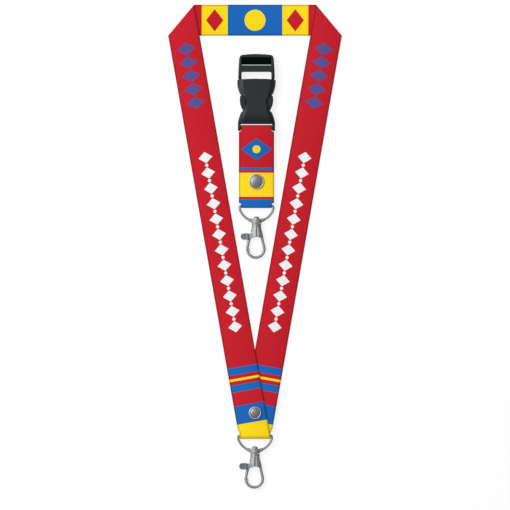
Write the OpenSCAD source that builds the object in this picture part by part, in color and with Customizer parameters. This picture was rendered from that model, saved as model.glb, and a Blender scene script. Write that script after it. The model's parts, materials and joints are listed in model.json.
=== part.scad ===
// Lanyard laid flat on a table: a neck loop of printed webbing that ends in a
// swivel hook, and a loose tail with a side-release buckle and a second hook.
// X runs across the loop, Y runs up towards the neck band, Z is off the table.

/* [Neck strap] */
// Width of the neck strap
strap_w = 25; // [20:0.5:25.5]
// Thickness of the webbing of both straps
strap_t = 0.8; // [0.5:0.05:1]
// Lean of each leg of the loop from the long axis, in degrees
leg_tilt = 10; // [8:0.5:12]
// Height of the neck band's lower edge above the ring bar
band_y = 322.5; // [310:0.5:380]
// Length of the ends that are turned back behind the ring bar
turn_back = 27; // [25:0.5:40]
// Height of the neck rivet above the ring bar
neck_rivet_y = 18.3; // [16:0.1:20]
// Flat stretch of each leg below its corner fold
fold_lip = 3; // [1:0.5:8]
// Length over which a leg drops from its corner fold to the table
fold_run = 24; // [14:0.5:40]
// Length over which the upper leg comes down where the legs part
lift_run = 26; // [14:0.5:40]
// Length over which the legs climb to the rivet
climb_run = 22; // [12:0.5:26]
// Flat margin of both straps round their rivets
seat_margin = 1; // [0.5:0.1:1.5]

/* [Tail strap] */
// Width of the tail strap
tail_w = 28.4; // [26:0.2:30]
// Distance from the ring bar to the buckle bar
tail_len = 63; // [56:0.2:70]
// Height of the tail's ring bar above the neck's ring bar
tail_y = 185.3; // [170:0.1:190]
// Sideways place of the tail inside the loop
tail_x = 1.2; // [-2:0.1:2]
// Height of the tail rivet above the ring bar
tail_rivet_y = 19.5; // [17:0.1:24]
// Length of each lapped end of the tail strap past its rivet
tail_lap = 9; // [8:0.5:12]

/* [Rivets] */
// Diameter of the neck rivet's cap
neck_cap_d = 10.3; // [8:0.1:12]
// Diameter of the tail rivet's cap
tail_cap_d = 12.3; // [8:0.1:13]
// Height of a rivet cap
cap_h = 2; // [1.6:0.1:3]
// Diameter of a rivet's back disc
back_d = 8.4; // [7:0.1:9]
// Thickness of a rivet's back disc
back_t = 1.1; // [0.9:0.1:1.6]
// Diameter of a rivet's stem
stem_d = 3; // [2:0.1:3.4]
// Width of the flare at a stem's foot
flare_w = 0.9; // [0.6:0.1:1.2]
// Height of the flare at a stem's foot
flare_h = 0.4; // [0.3:0.1:0.6]
// Width of the rolled rim round a rivet cap
rim_w = 1.1; // [0.9:0.1:1.4]

/* [Eye ring] */
// Outer width of the eye ring
ring_w = 28.8; // [28:0.1:32]
// Diameter of the ring's wire
wire_d = 1.8; // [1.4:0.1:2]
// Drop from the ring's straight bar to the lowest point of its bend
ring_drop = 12.5; // [11:0.1:15]
// Length of the ring's straight legs
ring_leg = 2.9; // [2.4:0.1:4]
// Width of the boss that the swivel pin turns in
boss_w = 8.2; // [6:0.1:9]
// Thickness of the boss
boss_t = 5.4; // [4.6:0.1:5.6]
// Length of the boss along the swivel pin
boss_len = 3.6; // [3:0.1:4.5]
// Length of the collar on each side of the boss
collar_len = 2.2; // [1:0.1:3]

/* [Swivel hook] */
// Diameter of the swivel pin's shank
pin_d = 2.6; // [2:0.1:3]
// Diameter of the swivel pin's head
pin_head_d = 5.2; // [4:0.1:5.4]
// Height of the swivel pin's head
pin_head_h = 2.1; // [1.5:0.1:2.5]
// Depth that the swivel pin is pressed into the hook body
pin_depth = 5; // [3:0.1:5.5]
// Thickness of the hook body
hook_t = 5.6; // [5.4:0.1:7]
// Width of the hook body at its top
body_top_w = 7.8; // [7:0.1:9]
// Width of the hook body at its lower edge
body_low_w = 11; // [10.4:0.1:12]
// Length of the hook body
body_len = 11.2; // [10.8:0.1:13]
// Drop from the top of the hook body to the centre of the bow
bow_drop = 20.3; // [19.5:0.1:24]
// Outer radius of the bow
bow_r = 8; // [7.6:0.1:9]
// Diameter of the bow's wire
bow_wire_d = 2.3; // [1.8:0.1:2.5]
// Lean of the bow's straight sides, in degrees
bow_lean = 12.5; // [10:0.5:14]
// Sideways place of the bow's centre
bow_x = -0.6; // [-0.8:0.1:0]
// How far round the bow its open tip reaches, below the level of its centre
tip_angle = 17; // [10:1:25]
// How far the bow's ball tip and knuckle stand out from its wire
bead = 0.1; // [0.06:0.01:0.2]

/* [Hook gate] */
// Thickness of the gate's plate
gate_t = 2.3; // [1.8:0.1:2.6]
// Distance of the gate's hinge from the swivel axis
hinge_x = 3.6; // [3.4:0.1:4]
// Drop from the top of the hook body to the gate's hinge
hinge_drop = 9.1; // [8.8:0.1:9.4]
// Diameter of the gate's hinge pin
hinge_d = 1.6; // [1.2:0.1:2]
// Diameter of the gate's hinge eye
hinge_eye_d = 3.8; // [3.2:0.1:4]
// Length of the thumb tab
tab_len = 6.5; // [5.5:0.1:8]
// Height of the thumb tab
tab_h = 5.2; // [4.5:0.1:5.6]
// Thickness of the thumb tab
tab_t = 4.6; // [3:0.1:5]
// Gap between the thumb tab and the side of the hook body
tab_gap = 0.8; // [0.7:0.1:1]
// Number of grip ridges on the thumb tab
tab_ridges = 4; // [3:1:5]
// Thickness of the gate's leaf spring
leaf_t = 0.25; // [0.15:0.05:0.3]
// Room for the leaf spring above the gate's hinge eye
leaf_room = 0.9; // [0.8:0.1:1.2]
// Thickness of the gate's lip behind the bow's tip
lip_t = 0.9; // [0.7:0.1:1.1]
// Gap between the end of the gate and the bow's tip
tip_gap = 0.8; // [0.7:0.1:1.2]

/* [Buckle socket] */
// Thickness of the socket
socket_t = 9; // [8.6:0.1:11]
// Width of the socket at its mouth
mouth_w = 30.6; // [30:0.1:33]
// Width of the socket at its strap end
end_w = 30; // [29.4:0.1:32]
// Width of the socket at its waist
waist_w = 22.8; // [22.4:0.1:24.4]
// Height of the mouth's edge above the strap bar
mouth_y = 39.7; // [39.2:0.1:43.8]
// Height of the top of the side windows above the strap bar
window_y = 26.8; // [26.3:0.1:27.8]
// Height of the waist above the strap bar
waist_y = 14.7; // [14.1:0.1:15.6]
// Height above the strap bar where the socket starts to narrow to its waist
flare_y = 2.2; // [1.2:0.1:3.8]
// Height above the strap bar where the socket is at its full thickness
full_y = 11.9; // [10:0.1:12.8]
// Height of the foot of the side windows above the strap bar
window_low = 12.8; // [12.2:0.1:13.4]
// Width of the socket at the top of its side windows
window_w = 27.2; // [26.8:0.1:28]
// Rise of the mouth's curved edge
mouth_bow = 1.1; // [0.6:0.1:1.6]
// Thickness of the socket at its strap end
end_t = 5.2; // [4.8:0.1:6]
// Diameter of the socket's strap bar
bar_d = 2.6; // [2:0.1:3]
// Height of the space inside the socket
cavity_h = 5; // [4.4:0.1:5.6]
// Width of the space inside the socket
cavity_w = 23.8; // [23.4:0.1:24.2]
// Radius of the socket's domed face across its width
crown_r = 56; // [45:1:90]
// Height of the middle of the finger notches above the strap bar
notch_y = 20.6; // [20:0.1:21.2]
// Radius of the finger notches in the socket's plates
notch_r = 5.4; // [5.2:0.1:5.8]
// Depth of the finger notches from the edge of the window
notch_depth = 4.9; // [4.4:0.1:5.1]

/* [Buckle plug] */
// Thickness of the plug's frame
plug_t = 6; // [5.4:0.1:7]
// Height of the plug's frame above the mouth of the socket
plug_len = 19.2; // [18.8:0.1:24]
// Width of the plug's frame beside the mouth
plug_w = 29.6; // [29:0.1:31]
// Width of the plug's frame at its outer end
plug_top_w = 27.4; // [27:0.1:29]
// Width of the plug's straight slot
slot_w = 25.2; // [24:0.1:25.4]
// Height of the straight slot beside the mouth
slot_h = 5.3; // [4.6:0.1:5.6]
// Width of the bar between the two slots
ladder_bar = 5.7; // [5.2:0.1:7]
// Height of the slanted outer slot
ladder_slot = 5.9; // [5:0.1:6.2]
// Width of the rails beside the slanted slot
ladder_rail = 1.1; // [1:0.1:1.6]
// Corner radius of the plug's outer end
corner_r = 2.4; // [1.5:0.1:3]
// Rise of the curved edge of the plug's outer end
end_bow = 0.8; // [0.4:0.1:1.2]
// Depth of the plug's shoulders inside the mouth
shoulder_depth = 3.3; // [3:0.1:3.6]
// Depth of the plug's base bar inside the mouth
base_depth = 4.3; // [4:0.1:4.8]
// Depth of the straight slot's lower edge inside the mouth
slot_depth = 0.9; // [0.6:0.1:1]
// Width of the plug's centre tongue
tongue_w = 6.4; // [5:0.1:7]
// Height of the tongue's tip above the foot of the windows
tongue_rise = 4; // [3:0.5:10]
// Thickness of a latch arm
arm_w = 2.2; // [1.8:0.1:2.4]
// Gap between a latch arm and the side of the space inside the socket
arm_gap = 0.5; // [0.4:0.05:0.6]
// Distance of a latch arm's root from the centre line
root_x = 10.2; // [10:0.1:10.4]
// Depth of a latch arm's root inside the mouth
root_depth = 3.5; // [3.3:0.1:3.7]
// Radius of a latch arm's root
root_r = 1.15; // [1:0.05:1.25]
// How far a latch arm's thumb pad stands out from the centre line
pad_x = 13.4; // [13.2:0.1:13.8]

/* [Fits] */
// Clearance round a bar, pin or stem that turns or passes through
fit_gap = 0.1; // [0.05:0.01:0.15]
// Clearance of the pressed pins
press_gap = 0.02; // [0.01:0.01:0.04]
// Gap between layers of webbing
layer_gap = 0.05; // [0.04:0.01:0.1]
// Gap beside a strap in a ring or slot
side_gap = 0.4; // [0.3:0.05:0.6]
// Gap between parts that slide past each other
slide_gap = 0.2; // [0.15:0.01:0.3]

/* [Hidden] */
$fn = 48;

// How far a cutting shape runs past the face that it cuts
cut = 1;

RED = [0.76, 0.10, 0.16];
STEEL = [0.74, 0.75, 0.76];
NICKEL = [0.82, 0.82, 0.83];
GREY = [0.42, 0.44, 0.45];
BLACK = [0.11, 0.12, 0.13];

// Webbing layers: every strap centre line is a list of [y, z] points
step = strap_t + layer_gap;
wire_r = wire_d / 2;
wrap_1 = wire_r + fit_gap + strap_t / 2;
wrap_2 = wrap_1 + step;
hook_half = max(hook_t, boss_t, pin_head_d, tab_t) / 2;
bar_z = max(hook_half, wrap_2 + strap_t / 2 + layer_gap);
flat_z = strap_t / 2;
fold_gap = 2 * layer_gap;
fold_z = flat_z + strap_t + fold_gap;
function stack_z(layer) = back_t + strap_t / 2 + layer * step;

// Plan of the neck loop: the legs cross at the strap's bottom edge
band_top = band_y + strap_w;
cross_y = -(wrap_2 + strap_t / 2);
leg_half = strap_w / (2 * cos(leg_tilt));
ring_half = ring_w / 2 - wire_r;
ring_inner = ring_w / 2 - wire_d;
loop_half = min(leg_half, ring_inner - side_gap);
straight_y = wrap_1 + strap_t / 2 + slide_gap;
turn_y = 3 * straight_y;
function leg_out(y) = -(y - cross_y) * tan(leg_tilt) - leg_half;
function leg_in(y) = leg_out(y) + 2 * leg_half;
fold_angle = 45 + leg_tilt / 2;
part_y = cross_y + strap_w / (2 * sin(leg_tilt)) + straight_y;

// Swivel hook, from the ring bar downwards
boss_top = -ring_drop + boss_len / 2;
boss_low = boss_top - boss_len;
body_top = boss_low - slide_gap;
body_low = body_top - body_len;
bow_y = body_top - bow_drop;
bow_wire_r = bow_wire_d / 2;
bow_mid = bow_r - bow_wire_r;
hinge = [-hinge_x, body_top - hinge_drop];
slot_half_t = gate_t / 2 + slide_gap;
slot_top = hinge[1] + hinge_eye_d / 2 + leaf_room;
slot_right = hook_t / 14;
lip_gap = bead + slide_gap;

// Tail and buckle
tail_half = min(tail_w / 2, ring_inner - side_gap);
socket_slot = tail_half + side_gap;
bar_r = bar_d / 2;
buckle_z = socket_t / 2;
wrap_3 = bar_r + fit_gap + strap_t / 2;
slot_y = wrap_3 + strap_t / 2 + 2.5 * side_gap;
ring_taper = straight_y;
lug_taper = end_t / 2 + slide_gap;
taper_run = 2 * side_gap;
mouth_side = mouth_y - mouth_bow;
window_half = window_w / 2;
cavity_half = cavity_w / 2;
notch_x = window_half - notch_depth + notch_r;
shoulder_y = mouth_y - shoulder_depth;
plug_half_t = cavity_h / 2 - slide_gap;
base_low = mouth_y - base_depth;
base_top = mouth_y - slot_depth;
arm_root = [root_x, mouth_y - root_depth];

// The model is centred on its own footprint
shift_y = -(band_top + bow_y - bow_r) / 2;

// A smooth ramp from one point to another, without its first point
function ramp(a, b, n = 8) = [
  for (i = [1:n])
    let (u = i / n)
      [a[0] + (b[0] - a[0]) * u, a[1] + (b[1] - a[1]) * (1 - cos(180 * u)) / 2]
];

// Points on an arc, without its first point
function arc(c, r, a0, a1, n = 12) = [
  for (i = [1:n])
    let (a = a0 + (a1 - a0) * i / n)
      [c[0] + r * cos(a), c[1] + r * sin(a)]
];

// A smooth curve through a list of points
function curve(p, n = 5) = [
  for (i = [0:len(p) - 2], j = [0:n - 1])
    let (
      u = j / n,
      a = p[max(i - 1, 0)],
      b = p[i],
      c = p[i + 1],
      d = p[min(i + 2, len(p) - 1)]
    )
      b + u * (c - a) / 2 + u * u * (a - 2.5 * b + 2 * c - d / 2) + u * u * u * (1.5 * (b - c) + (d - a) / 2)
];

// The points of a path moved sideways by d
function beside(p, d) = [
  for (i = [0:len(p) - 1])
    let (t = p[min(i + 1, len(p) - 1)] - p[max(i - 1, 0)])
      p[i] + d * [-t[1], t[0]] / norm(t)
];

function reversed(p) = [for (i = [len(p) - 1:-1:0]) p[i]];
function part_of(p, from, to) = [for (i = [from:to]) p[i]];
function mirrored(p) = [for (q = p) [-q[0], q[1]]];

// Draws a side profile in the Y-Z plane and runs it across X
module across(half) {
  translate([-half, 0, 0]) rotate([90, 0, 90]) linear_extrude(2 * half) children();
}

// A strip of webbing along points from..to of a centre line
module webbing(path, from, to, half) {
  upper = part_of(beside(path, strap_t / 2), from, to);
  lower = part_of(beside(path, -strap_t / 2), from, to);
  across(half) polygon(concat(upper, reversed(lower)));
}

// A round or tapered rod between two points in the plane z = 0
module rod(a, b, r1, r2) {
  d = b - a;
  translate([a[0], a[1], 0])
    rotate([0, 0, atan2(d[1], d[0])])
      rotate([0, 90, 0])
        cylinder(h = norm(d), r1 = r1, r2 = r2);
}

module at_neck_rivet() {
  translate([0, shift_y + neck_rivet_y, 0]) children();
}

module at_tail_rivet() {
  translate([tail_x, shift_y + tail_y + tail_rivet_y, 0]) children();
}

module at_neck_ring() {
  translate([0, shift_y, bar_z]) children();
}

module at_tail_ring() {
  translate([tail_x, shift_y + tail_y, bar_z]) children();
}

module at_buckle() {
  translate([tail_x, shift_y + tail_y + tail_len, buckle_z]) children();
}

// Neck strap: legs, band, corner folds and the two ends round the ring bar

function neck_path(outer) =
  let (
    r = wrap_1 + outer * step,
    low = flat_z + outer * step,
    front = stack_z(2 + outer),
    back = stack_z(1 - outer),
    seat_top = neck_rivet_y + neck_cap_d / 2 + seat_margin,
    seat_low = neck_rivet_y - neck_cap_d / 2 - seat_margin,
    p0 = [band_top + cut, fold_z],
    p1 = [band_y - fold_lip, fold_z],
    p2 = [band_y - fold_lip - fold_run, flat_z],
    p3 = [part_y + lift_run, flat_z],
    p4 = [part_y, low],
    p5 = [seat_top + climb_run, low],
    p6 = [seat_top, front],
    p7 = [seat_low, front],
    p8 = [0, bar_z + r],
    p9 = [0, bar_z - r],
    p10 = [seat_low, back],
    p11 = [turn_back, back]
  )
    concat(
      [p0, p1], ramp(p1, p2), [p3], ramp(p3, p4), [p5], ramp(p5, p6), [p7], ramp(p7, p8),
      arc([0, bar_z], r, 90, 270), ramp(p9, p10), [p11]
    );

leg_plan = [
  [-loop_half, cross_y - cut],
  [loop_half, cross_y - cut],
  [loop_half, straight_y],
  [leg_in(turn_y), turn_y],
  [leg_in(band_top), band_top],
  [leg_out(band_y), band_y],
  [leg_out(turn_y), turn_y],
  [-loop_half, straight_y]
];

band_plan = [
  [leg_out(band_y), band_y],
  [-leg_out(band_y), band_y],
  [-leg_in(band_top), band_top],
  [leg_in(band_top), band_top]
];

// One leg: its front on its own side, its turned-back end on the other
module neck_leg(outer, plan) {
  path = neck_path(outer);
  last = len(path) - 1;
  wrap_end = last - 9;
  half = -leg_out(band_top) + cut;
  intersection() {
    webbing(path, 0, wrap_end, half);
    linear_extrude(2 * bar_z + fold_z) polygon(plan);
  }
  intersection() {
    webbing(path, wrap_end, last, half);
    linear_extrude(2 * bar_z + fold_z) polygon(mirrored(plan));
  }
}

// Rounded edge of the flat fold at the left corner
module corner_fold() {
  r = strap_t + fold_gap / 2;
  run = strap_w / sin(fold_angle) - r / tan(fold_angle);
  translate([leg_out(band_y), band_y, r])
    rotate([0, 0, fold_angle])
      rotate([90, 0, 90])
        linear_extrude(run)
          intersection() {
            difference() {
              circle(r);
              circle(fold_gap / 2);
            }
            translate([0, -r]) square([r, 2 * r]);
          }
}

module neck_strap() {
  color(RED)
    translate([0, shift_y, 0])
      difference() {
        union() {
          neck_leg(1, leg_plan);
          neck_leg(0, mirrored(leg_plan));
          linear_extrude(strap_t) polygon(band_plan);
          corner_fold();
          mirror([1, 0, 0]) corner_fold();
        }
        translate([0, neck_rivet_y, -cut]) cylinder(h = stack_z(6), d = stem_d + 2 * fit_gap);
      }
}

// Rivets: domed cap, stem with a flared foot, back disc

foot_d = stem_d + 2 * flare_w;
stem_hold = cap_h / 2;
rim_r = rim_w / 2;
rim_z = rim_r + layer_gap;

module rivet_cap(d, z) {
  translate([0, 0, z])
    rotate_extrude()
      polygon(concat(
        [[stem_d / 2 + press_gap, 0], [d / 2 - rim_r, 0]],
        arc([d / 2 - rim_r, rim_z], rim_r, -60, 100, 8),
        [[d / 2 - rim_w, cap_h / 2]],
        [for (i = [1:8]) let (u = 1 - i / 8) [(d / 2 - rim_w) * u, cap_h - cap_h / 2 * u * u]],
        [[0, stem_hold + press_gap], [stem_d / 2 + press_gap, stem_hold + press_gap]]
      ));
}

module rivet_stem(z) {
  cylinder(h = z + stem_hold, d = stem_d);
  cylinder(h = flare_h, d = foot_d);
}

module rivet_back() {
  difference() {
    cylinder(h = back_t - layer_gap, d = back_d);
    translate([0, 0, -cut]) cylinder(h = back_t + 2 * cut, d = stem_d + 2 * press_gap);
    translate([0, 0, -cut]) cylinder(h = flare_h + press_gap + cut, d = foot_d + 2 * press_gap);
  }
}

neck_cap_z = stack_z(3) + strap_t / 2 + layer_gap;
tail_cap_z = stack_z(2) + strap_t / 2 + layer_gap;

module neck_rivet_cap() {
  color(NICKEL) at_neck_rivet() rivet_cap(neck_cap_d, neck_cap_z);
}

module neck_rivet_stem() {
  color(STEEL) at_neck_rivet() rivet_stem(neck_cap_z);
}

module neck_rivet_back() {
  color(NICKEL) at_neck_rivet() rivet_back();
}

module tail_rivet_cap() {
  color(NICKEL) at_tail_rivet() rivet_cap(tail_cap_d, tail_cap_z);
}

module tail_rivet_stem() {
  color(STEEL) at_tail_rivet() rivet_stem(tail_cap_z);
}

module tail_rivet_back() {
  color(NICKEL) at_tail_rivet() rivet_back();
}

// Tail strap: one length round the ring bar and the buckle bar, its ends lapped under the rivet

function tail_path() =
  let (
    seat_top = tail_rivet_y + tail_cap_d / 2 + seat_margin,
    seat_low = tail_rivet_y - tail_cap_d / 2 - seat_margin,
    lap_top = tail_rivet_y + tail_lap,
    lap_low = tail_rivet_y - tail_lap,
    q0 = [lap_top, stack_z(0)],
    q1 = [seat_low, stack_z(0)],
    q2 = [0, bar_z - wrap_1],
    q3 = [0, bar_z + wrap_1],
    q4 = [seat_low, stack_z(2)],
    q5 = [seat_top, stack_z(2)],
    q6 = [tail_len, buckle_z + wrap_3],
    q7 = [tail_len, buckle_z - wrap_3],
    q8 = [lap_top + seat_margin, stack_z(1)],
    q9 = [lap_low, stack_z(1)]
  )
    concat(
      [q0, q1], ramp(q1, q2), arc([0, bar_z], wrap_1, 270, 90), ramp(q3, q4), [q5],
      ramp(q5, q6), arc([tail_len, buckle_z], wrap_3, 90, -90), ramp(q7, q8), [q9]
    );

tail_plan = [
  [-tail_half, -wrap_2 - cut],
  [tail_half, -wrap_2 - cut],
  [tail_half, ring_taper],
  [tail_w / 2, ring_taper + taper_run],
  [tail_w / 2, tail_len - lug_taper - taper_run],
  [tail_half, tail_len - lug_taper],
  [tail_half, tail_len + slot_y],
  [-tail_half, tail_len + slot_y],
  [-tail_half, tail_len - lug_taper],
  [-tail_w / 2, tail_len - lug_taper - taper_run],
  [-tail_w / 2, ring_taper + taper_run],
  [-tail_half, ring_taper]
];

module tail_strap() {
  path = tail_path();
  color(RED)
    translate([tail_x, shift_y + tail_y, 0])
      difference() {
        intersection() {
          webbing(path, 0, len(path) - 1, tail_w / 2 + cut);
          linear_extrude(2 * socket_t) polygon(tail_plan);
        }
        translate([0, tail_rivet_y, -cut]) cylinder(h = stack_z(6), d = stem_d + 2 * fit_gap);
      }
}

// Eye ring: straight bar inside the strap, two legs, a bend and the swivel boss

bend_drop = ring_drop - ring_leg;
bend_r = (ring_half * ring_half + bend_drop * bend_drop) / (2 * bend_drop);
bend_y = bend_r - ring_drop;
bend_half = asin(ring_half / bend_r);
corner_bend = wire_r + slide_gap;
knuckle_r = wire_r + bead;
collar_x = boss_w / 2 + collar_len;
collar_r = wire_r + 4 * bead;
collar_top_r = boss_len / 2 - slide_gap;

// One side of the ring: half its bar, a corner, a leg, the knuckle above the bend and a collar
module ring_side() {
  rod([0, 0], [ring_half - corner_bend, 0], wire_r, wire_r);
  translate([ring_half - corner_bend, -corner_bend, 0])
    rotate_extrude(angle = 90)
      translate([corner_bend, 0]) circle(wire_r);
  rod([ring_half, -corner_bend], [ring_half, -ring_leg], wire_r, wire_r);
  translate([ring_half, -ring_leg, 0]) sphere(knuckle_r);
  rod(
    [collar_x, bend_y - sqrt(bend_r * bend_r - collar_x * collar_x)],
    [boss_w / 4, -ring_drop],
    collar_r,
    collar_top_r
  );
}

module ring() {
  difference() {
    union() {
      ring_side();
      mirror([1, 0, 0]) ring_side();
      translate([0, bend_y, 0])
        rotate([0, 0, -90 - bend_half])
          rotate_extrude(angle = 2 * bend_half)
            translate([bend_r, 0]) circle(wire_r);
      intersection() {
        translate([0, boss_low, 0]) rotate([-90, 0, 0]) cylinder(h = boss_len, d = boss_w);
        translate([-boss_w, boss_low, -boss_t / 2]) cube([2 * boss_w, boss_len, boss_t]);
      }
    }
    translate([0, boss_low - cut, 0])
      rotate([-90, 0, 0])
        cylinder(h = boss_len + boss_t, d = pin_d + fit_gap);
  }
}

module neck_ring() {
  color(STEEL) at_neck_ring() ring();
}

module tail_ring() {
  color(STEEL) at_tail_ring() ring();
}

// Swivel pin: shank through the boss, head peened over inside the ring

module swivel_pin() {
  head_y = boss_top + fit_gap;
  rotate([-90, 0, 0])
    rotate_extrude()
      polygon(concat(
        [[0, body_top - pin_depth], [pin_d / 2, body_top - pin_depth], [pin_d / 2, head_y]],
        [[pin_head_d / 2, head_y], [pin_head_d / 2, head_y + pin_head_h / 2]],
        [for (i = [1:6]) [pin_head_d / 2 * cos(15 * i), head_y + pin_head_h / 2 * (1 + sin(15 * i))]]
      ));
}

module neck_swivel_pin() {
  color(NICKEL) at_neck_ring() swivel_pin();
}

module tail_swivel_pin() {
  color(NICKEL) at_tail_ring() swivel_pin();
}

// Hook body: cast barrel with the gate's slot, and the open bow of the hook

tip_r = bow_wire_r + bead;
arm_foot = [bow_x + bow_mid * cos(bow_lean), bow_y + bow_mid * sin(bow_lean)];
arm_run = (body_low + bow_wire_d - arm_foot[1]) / cos(bow_lean);
arm_head = arm_foot + arm_run * [-sin(bow_lean), cos(bow_lean)];

body_side = curve([
  [0.5 * body_top_w, body_top],
  [0.475 * body_top_w, body_top - 0.23 * body_len],
  [0.54 * body_top_w, body_top - 0.45 * body_len],
  [0.465 * body_low_w, body_top - 0.75 * body_len],
  [0.5 * body_low_w, body_top - 0.95 * body_len],
  [0.48 * body_low_w, body_low]
]);
body_floor = [
  [0.45 * body_low_w, body_low],
  [0, body_low + 0.07 * body_len],
  [-0.45 * body_low_w, body_low]
];

module hook_body() {
  difference() {
    union() {
      intersection() {
        translate([0, 0, -hook_t / 2])
          linear_extrude(hook_t)
            polygon(concat(body_side, body_floor, reversed(mirrored(body_side))));
        translate([0, body_top, 0])
          rotate([90, 0, 0])
            cylinder(h = body_len, r1 = 0.525 * body_top_w, r2 = 0.555 * body_low_w);
      }
      rod(arm_foot, arm_head, bow_wire_r, bow_wire_r);
      translate([arm_foot[0], arm_foot[1], 0]) sphere(tip_r);
      translate([bow_x, bow_y, 0])
        rotate([0, 0, tip_angle - 180])
          rotate_extrude(angle = 180 - tip_angle + bow_lean)
            translate([bow_mid, 0]) circle(bow_wire_r);
      translate([bow_x - bow_mid * cos(tip_angle), bow_y - bow_mid * sin(tip_angle), 0]) sphere(tip_r);
    }
    translate([-body_low_w, body_low - cut, -slot_half_t])
      cube([body_low_w + slot_right, slot_top - body_low + cut, 2 * slot_half_t]);
    translate([hinge[0], hinge[1], -hook_t]) cylinder(h = 2 * hook_t, d = hinge_d + 2 * press_gap);
    translate([0, body_top - pin_depth - press_gap, 0])
      rotate([-90, 0, 0])
        cylinder(h = pin_depth + cut, d = pin_d + 2 * press_gap);
  }
}

module neck_hook_body() {
  color(NICKEL) at_neck_ring() hook_body();
}

module tail_hook_body() {
  color(NICKEL) at_tail_ring() hook_body();
}

// Gate: hinge eye, bar that closes the bow, lip behind the bow's tip and ridged thumb tab

gate_foot = [bow_x - bow_mid * cos(bow_lean), arm_foot[1]];
gate_run = (hinge[1] - hinge_d / 2 - gate_foot[1]) / cos(bow_lean);
gate_head = gate_foot + gate_run * [sin(bow_lean), cos(bow_lean)];
tab_mid = [-body_low_w / 2 - tab_gap - tab_len / 2, hinge[1] - 0.3 * hinge_eye_d];
joint_gap = asin((tip_gap + tip_r) / bow_mid);
gate_end = 180 + tip_angle - joint_gap;
lip_start = gate_end - 14;
lip_end = 180 + tip_angle + 9;
lip_out = bow_mid - bow_wire_r - lip_gap;
lip_half = gate_t / 3;
heel = [slot_right - 0.35 * hinge_eye_d, hinge[1] + 0.3 * hinge_eye_d];

gate_plate = [
  [heel[0], heel[1]],
  [hinge[0], hinge[1] + 0.45 * hinge_eye_d],
  [tab_mid[0] + tab_len / 2, tab_mid[1] + 0.35 * tab_h],
  [tab_mid[0] + tab_len / 3, tab_mid[1] - 0.4 * tab_h],
  [gate_head[0] - 0.5 * bow_wire_d, gate_head[1] - bow_wire_d],
  [gate_head[0] + 0.4 * bow_wire_d, gate_head[1] - 0.9 * bow_wire_d],
  [hinge[0] + 0.2 * hinge_eye_d, hinge[1] - 0.4 * hinge_eye_d],
  [heel[0], hinge[1]]
];

module thumb_tab() {
  end_r = tab_h / 2;
  pitch = 0.7 * tab_len / tab_ridges;
  translate([tab_mid[0], tab_mid[1], -tab_t / 2])
    difference() {
      union() {
        translate([-tab_len / 2 + end_r, 0, 0]) cylinder(h = tab_t, r = end_r);
        translate([-tab_len / 2 + end_r, -end_r, 0]) cube([tab_len - end_r, tab_h, tab_t]);
      }
      for (i = [0:tab_ridges - 1], z = [0, tab_t])
        translate([(i + 0.75) * pitch - tab_len / 2, 0, z])
          rotate([90, 0, 0])
            cylinder(h = 2 * tab_h, r = pitch / 4, center = true);
    }
}

module gate() {
  difference() {
    union() {
      translate([hinge[0], hinge[1], -gate_t / 2]) cylinder(h = gate_t, d = hinge_eye_d);
      translate([0, 0, -gate_t / 2]) linear_extrude(gate_t) polygon(gate_plate);
      rod(gate_foot, gate_head, bow_wire_r, bow_wire_r);
      translate([gate_foot[0], gate_foot[1], 0]) sphere(tip_r);
      translate([bow_x, bow_y, 0]) {
        rotate([0, 0, 180 - bow_lean])
          rotate_extrude(angle = gate_end - 180 + bow_lean)
            translate([bow_mid, 0]) circle(bow_wire_r);
        rotate([0, 0, lip_start])
          rotate_extrude(angle = lip_end - lip_start)
            translate([lip_out - lip_t, -lip_half]) square([lip_t, 2 * lip_half]);
        rotate([0, 0, lip_start])
          rotate_extrude(angle = gate_end - lip_start)
            translate([lip_out - lip_t / 2, -lip_half]) square([bow_wire_r, 2 * lip_half]);
      }
      thumb_tab();
    }
    translate([hinge[0], hinge[1], -gate_t]) cylinder(h = 2 * gate_t, d = hinge_d + fit_gap);
  }
}

module neck_gate() {
  color(GREY) at_neck_ring() gate();
}

module tail_gate() {
  color(GREY) at_tail_ring() gate();
}

module gate_pin() {
  translate([hinge[0], hinge[1], 0]) cylinder(h = hook_t - 2 * lip_gap, d = hinge_d, center = true);
}

module neck_gate_pin() {
  color(STEEL) at_neck_ring() gate_pin();
}

module tail_gate_pin() {
  color(STEEL) at_tail_ring() gate_pin();
}

// Leaf spring: lies along the top of the slot and bears on the gate's heel
module gate_spring() {
  top = slot_top - leaf_t / 2 - press_gap;
  bear = heel[1] + leaf_t / 2 + slide_gap;
  start = [hinge[0] - 0.3 * hinge_eye_d, top];
  leaf = concat([start], ramp(start, [heel[0] - layer_gap, bear]));
  translate([0, 0, -gate_t / 2])
    linear_extrude(gate_t)
      polygon(concat(beside(leaf, leaf_t / 2), reversed(beside(leaf, -leaf_t / 2))));
}

module neck_gate_spring() {
  color(STEEL) at_neck_ring() gate_spring();
}

module tail_gate_spring() {
  color(STEEL) at_tail_ring() gate_spring();
}

// Buckle socket: two plates joined at the sides and at the strap end, open at the mouth and windows

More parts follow.
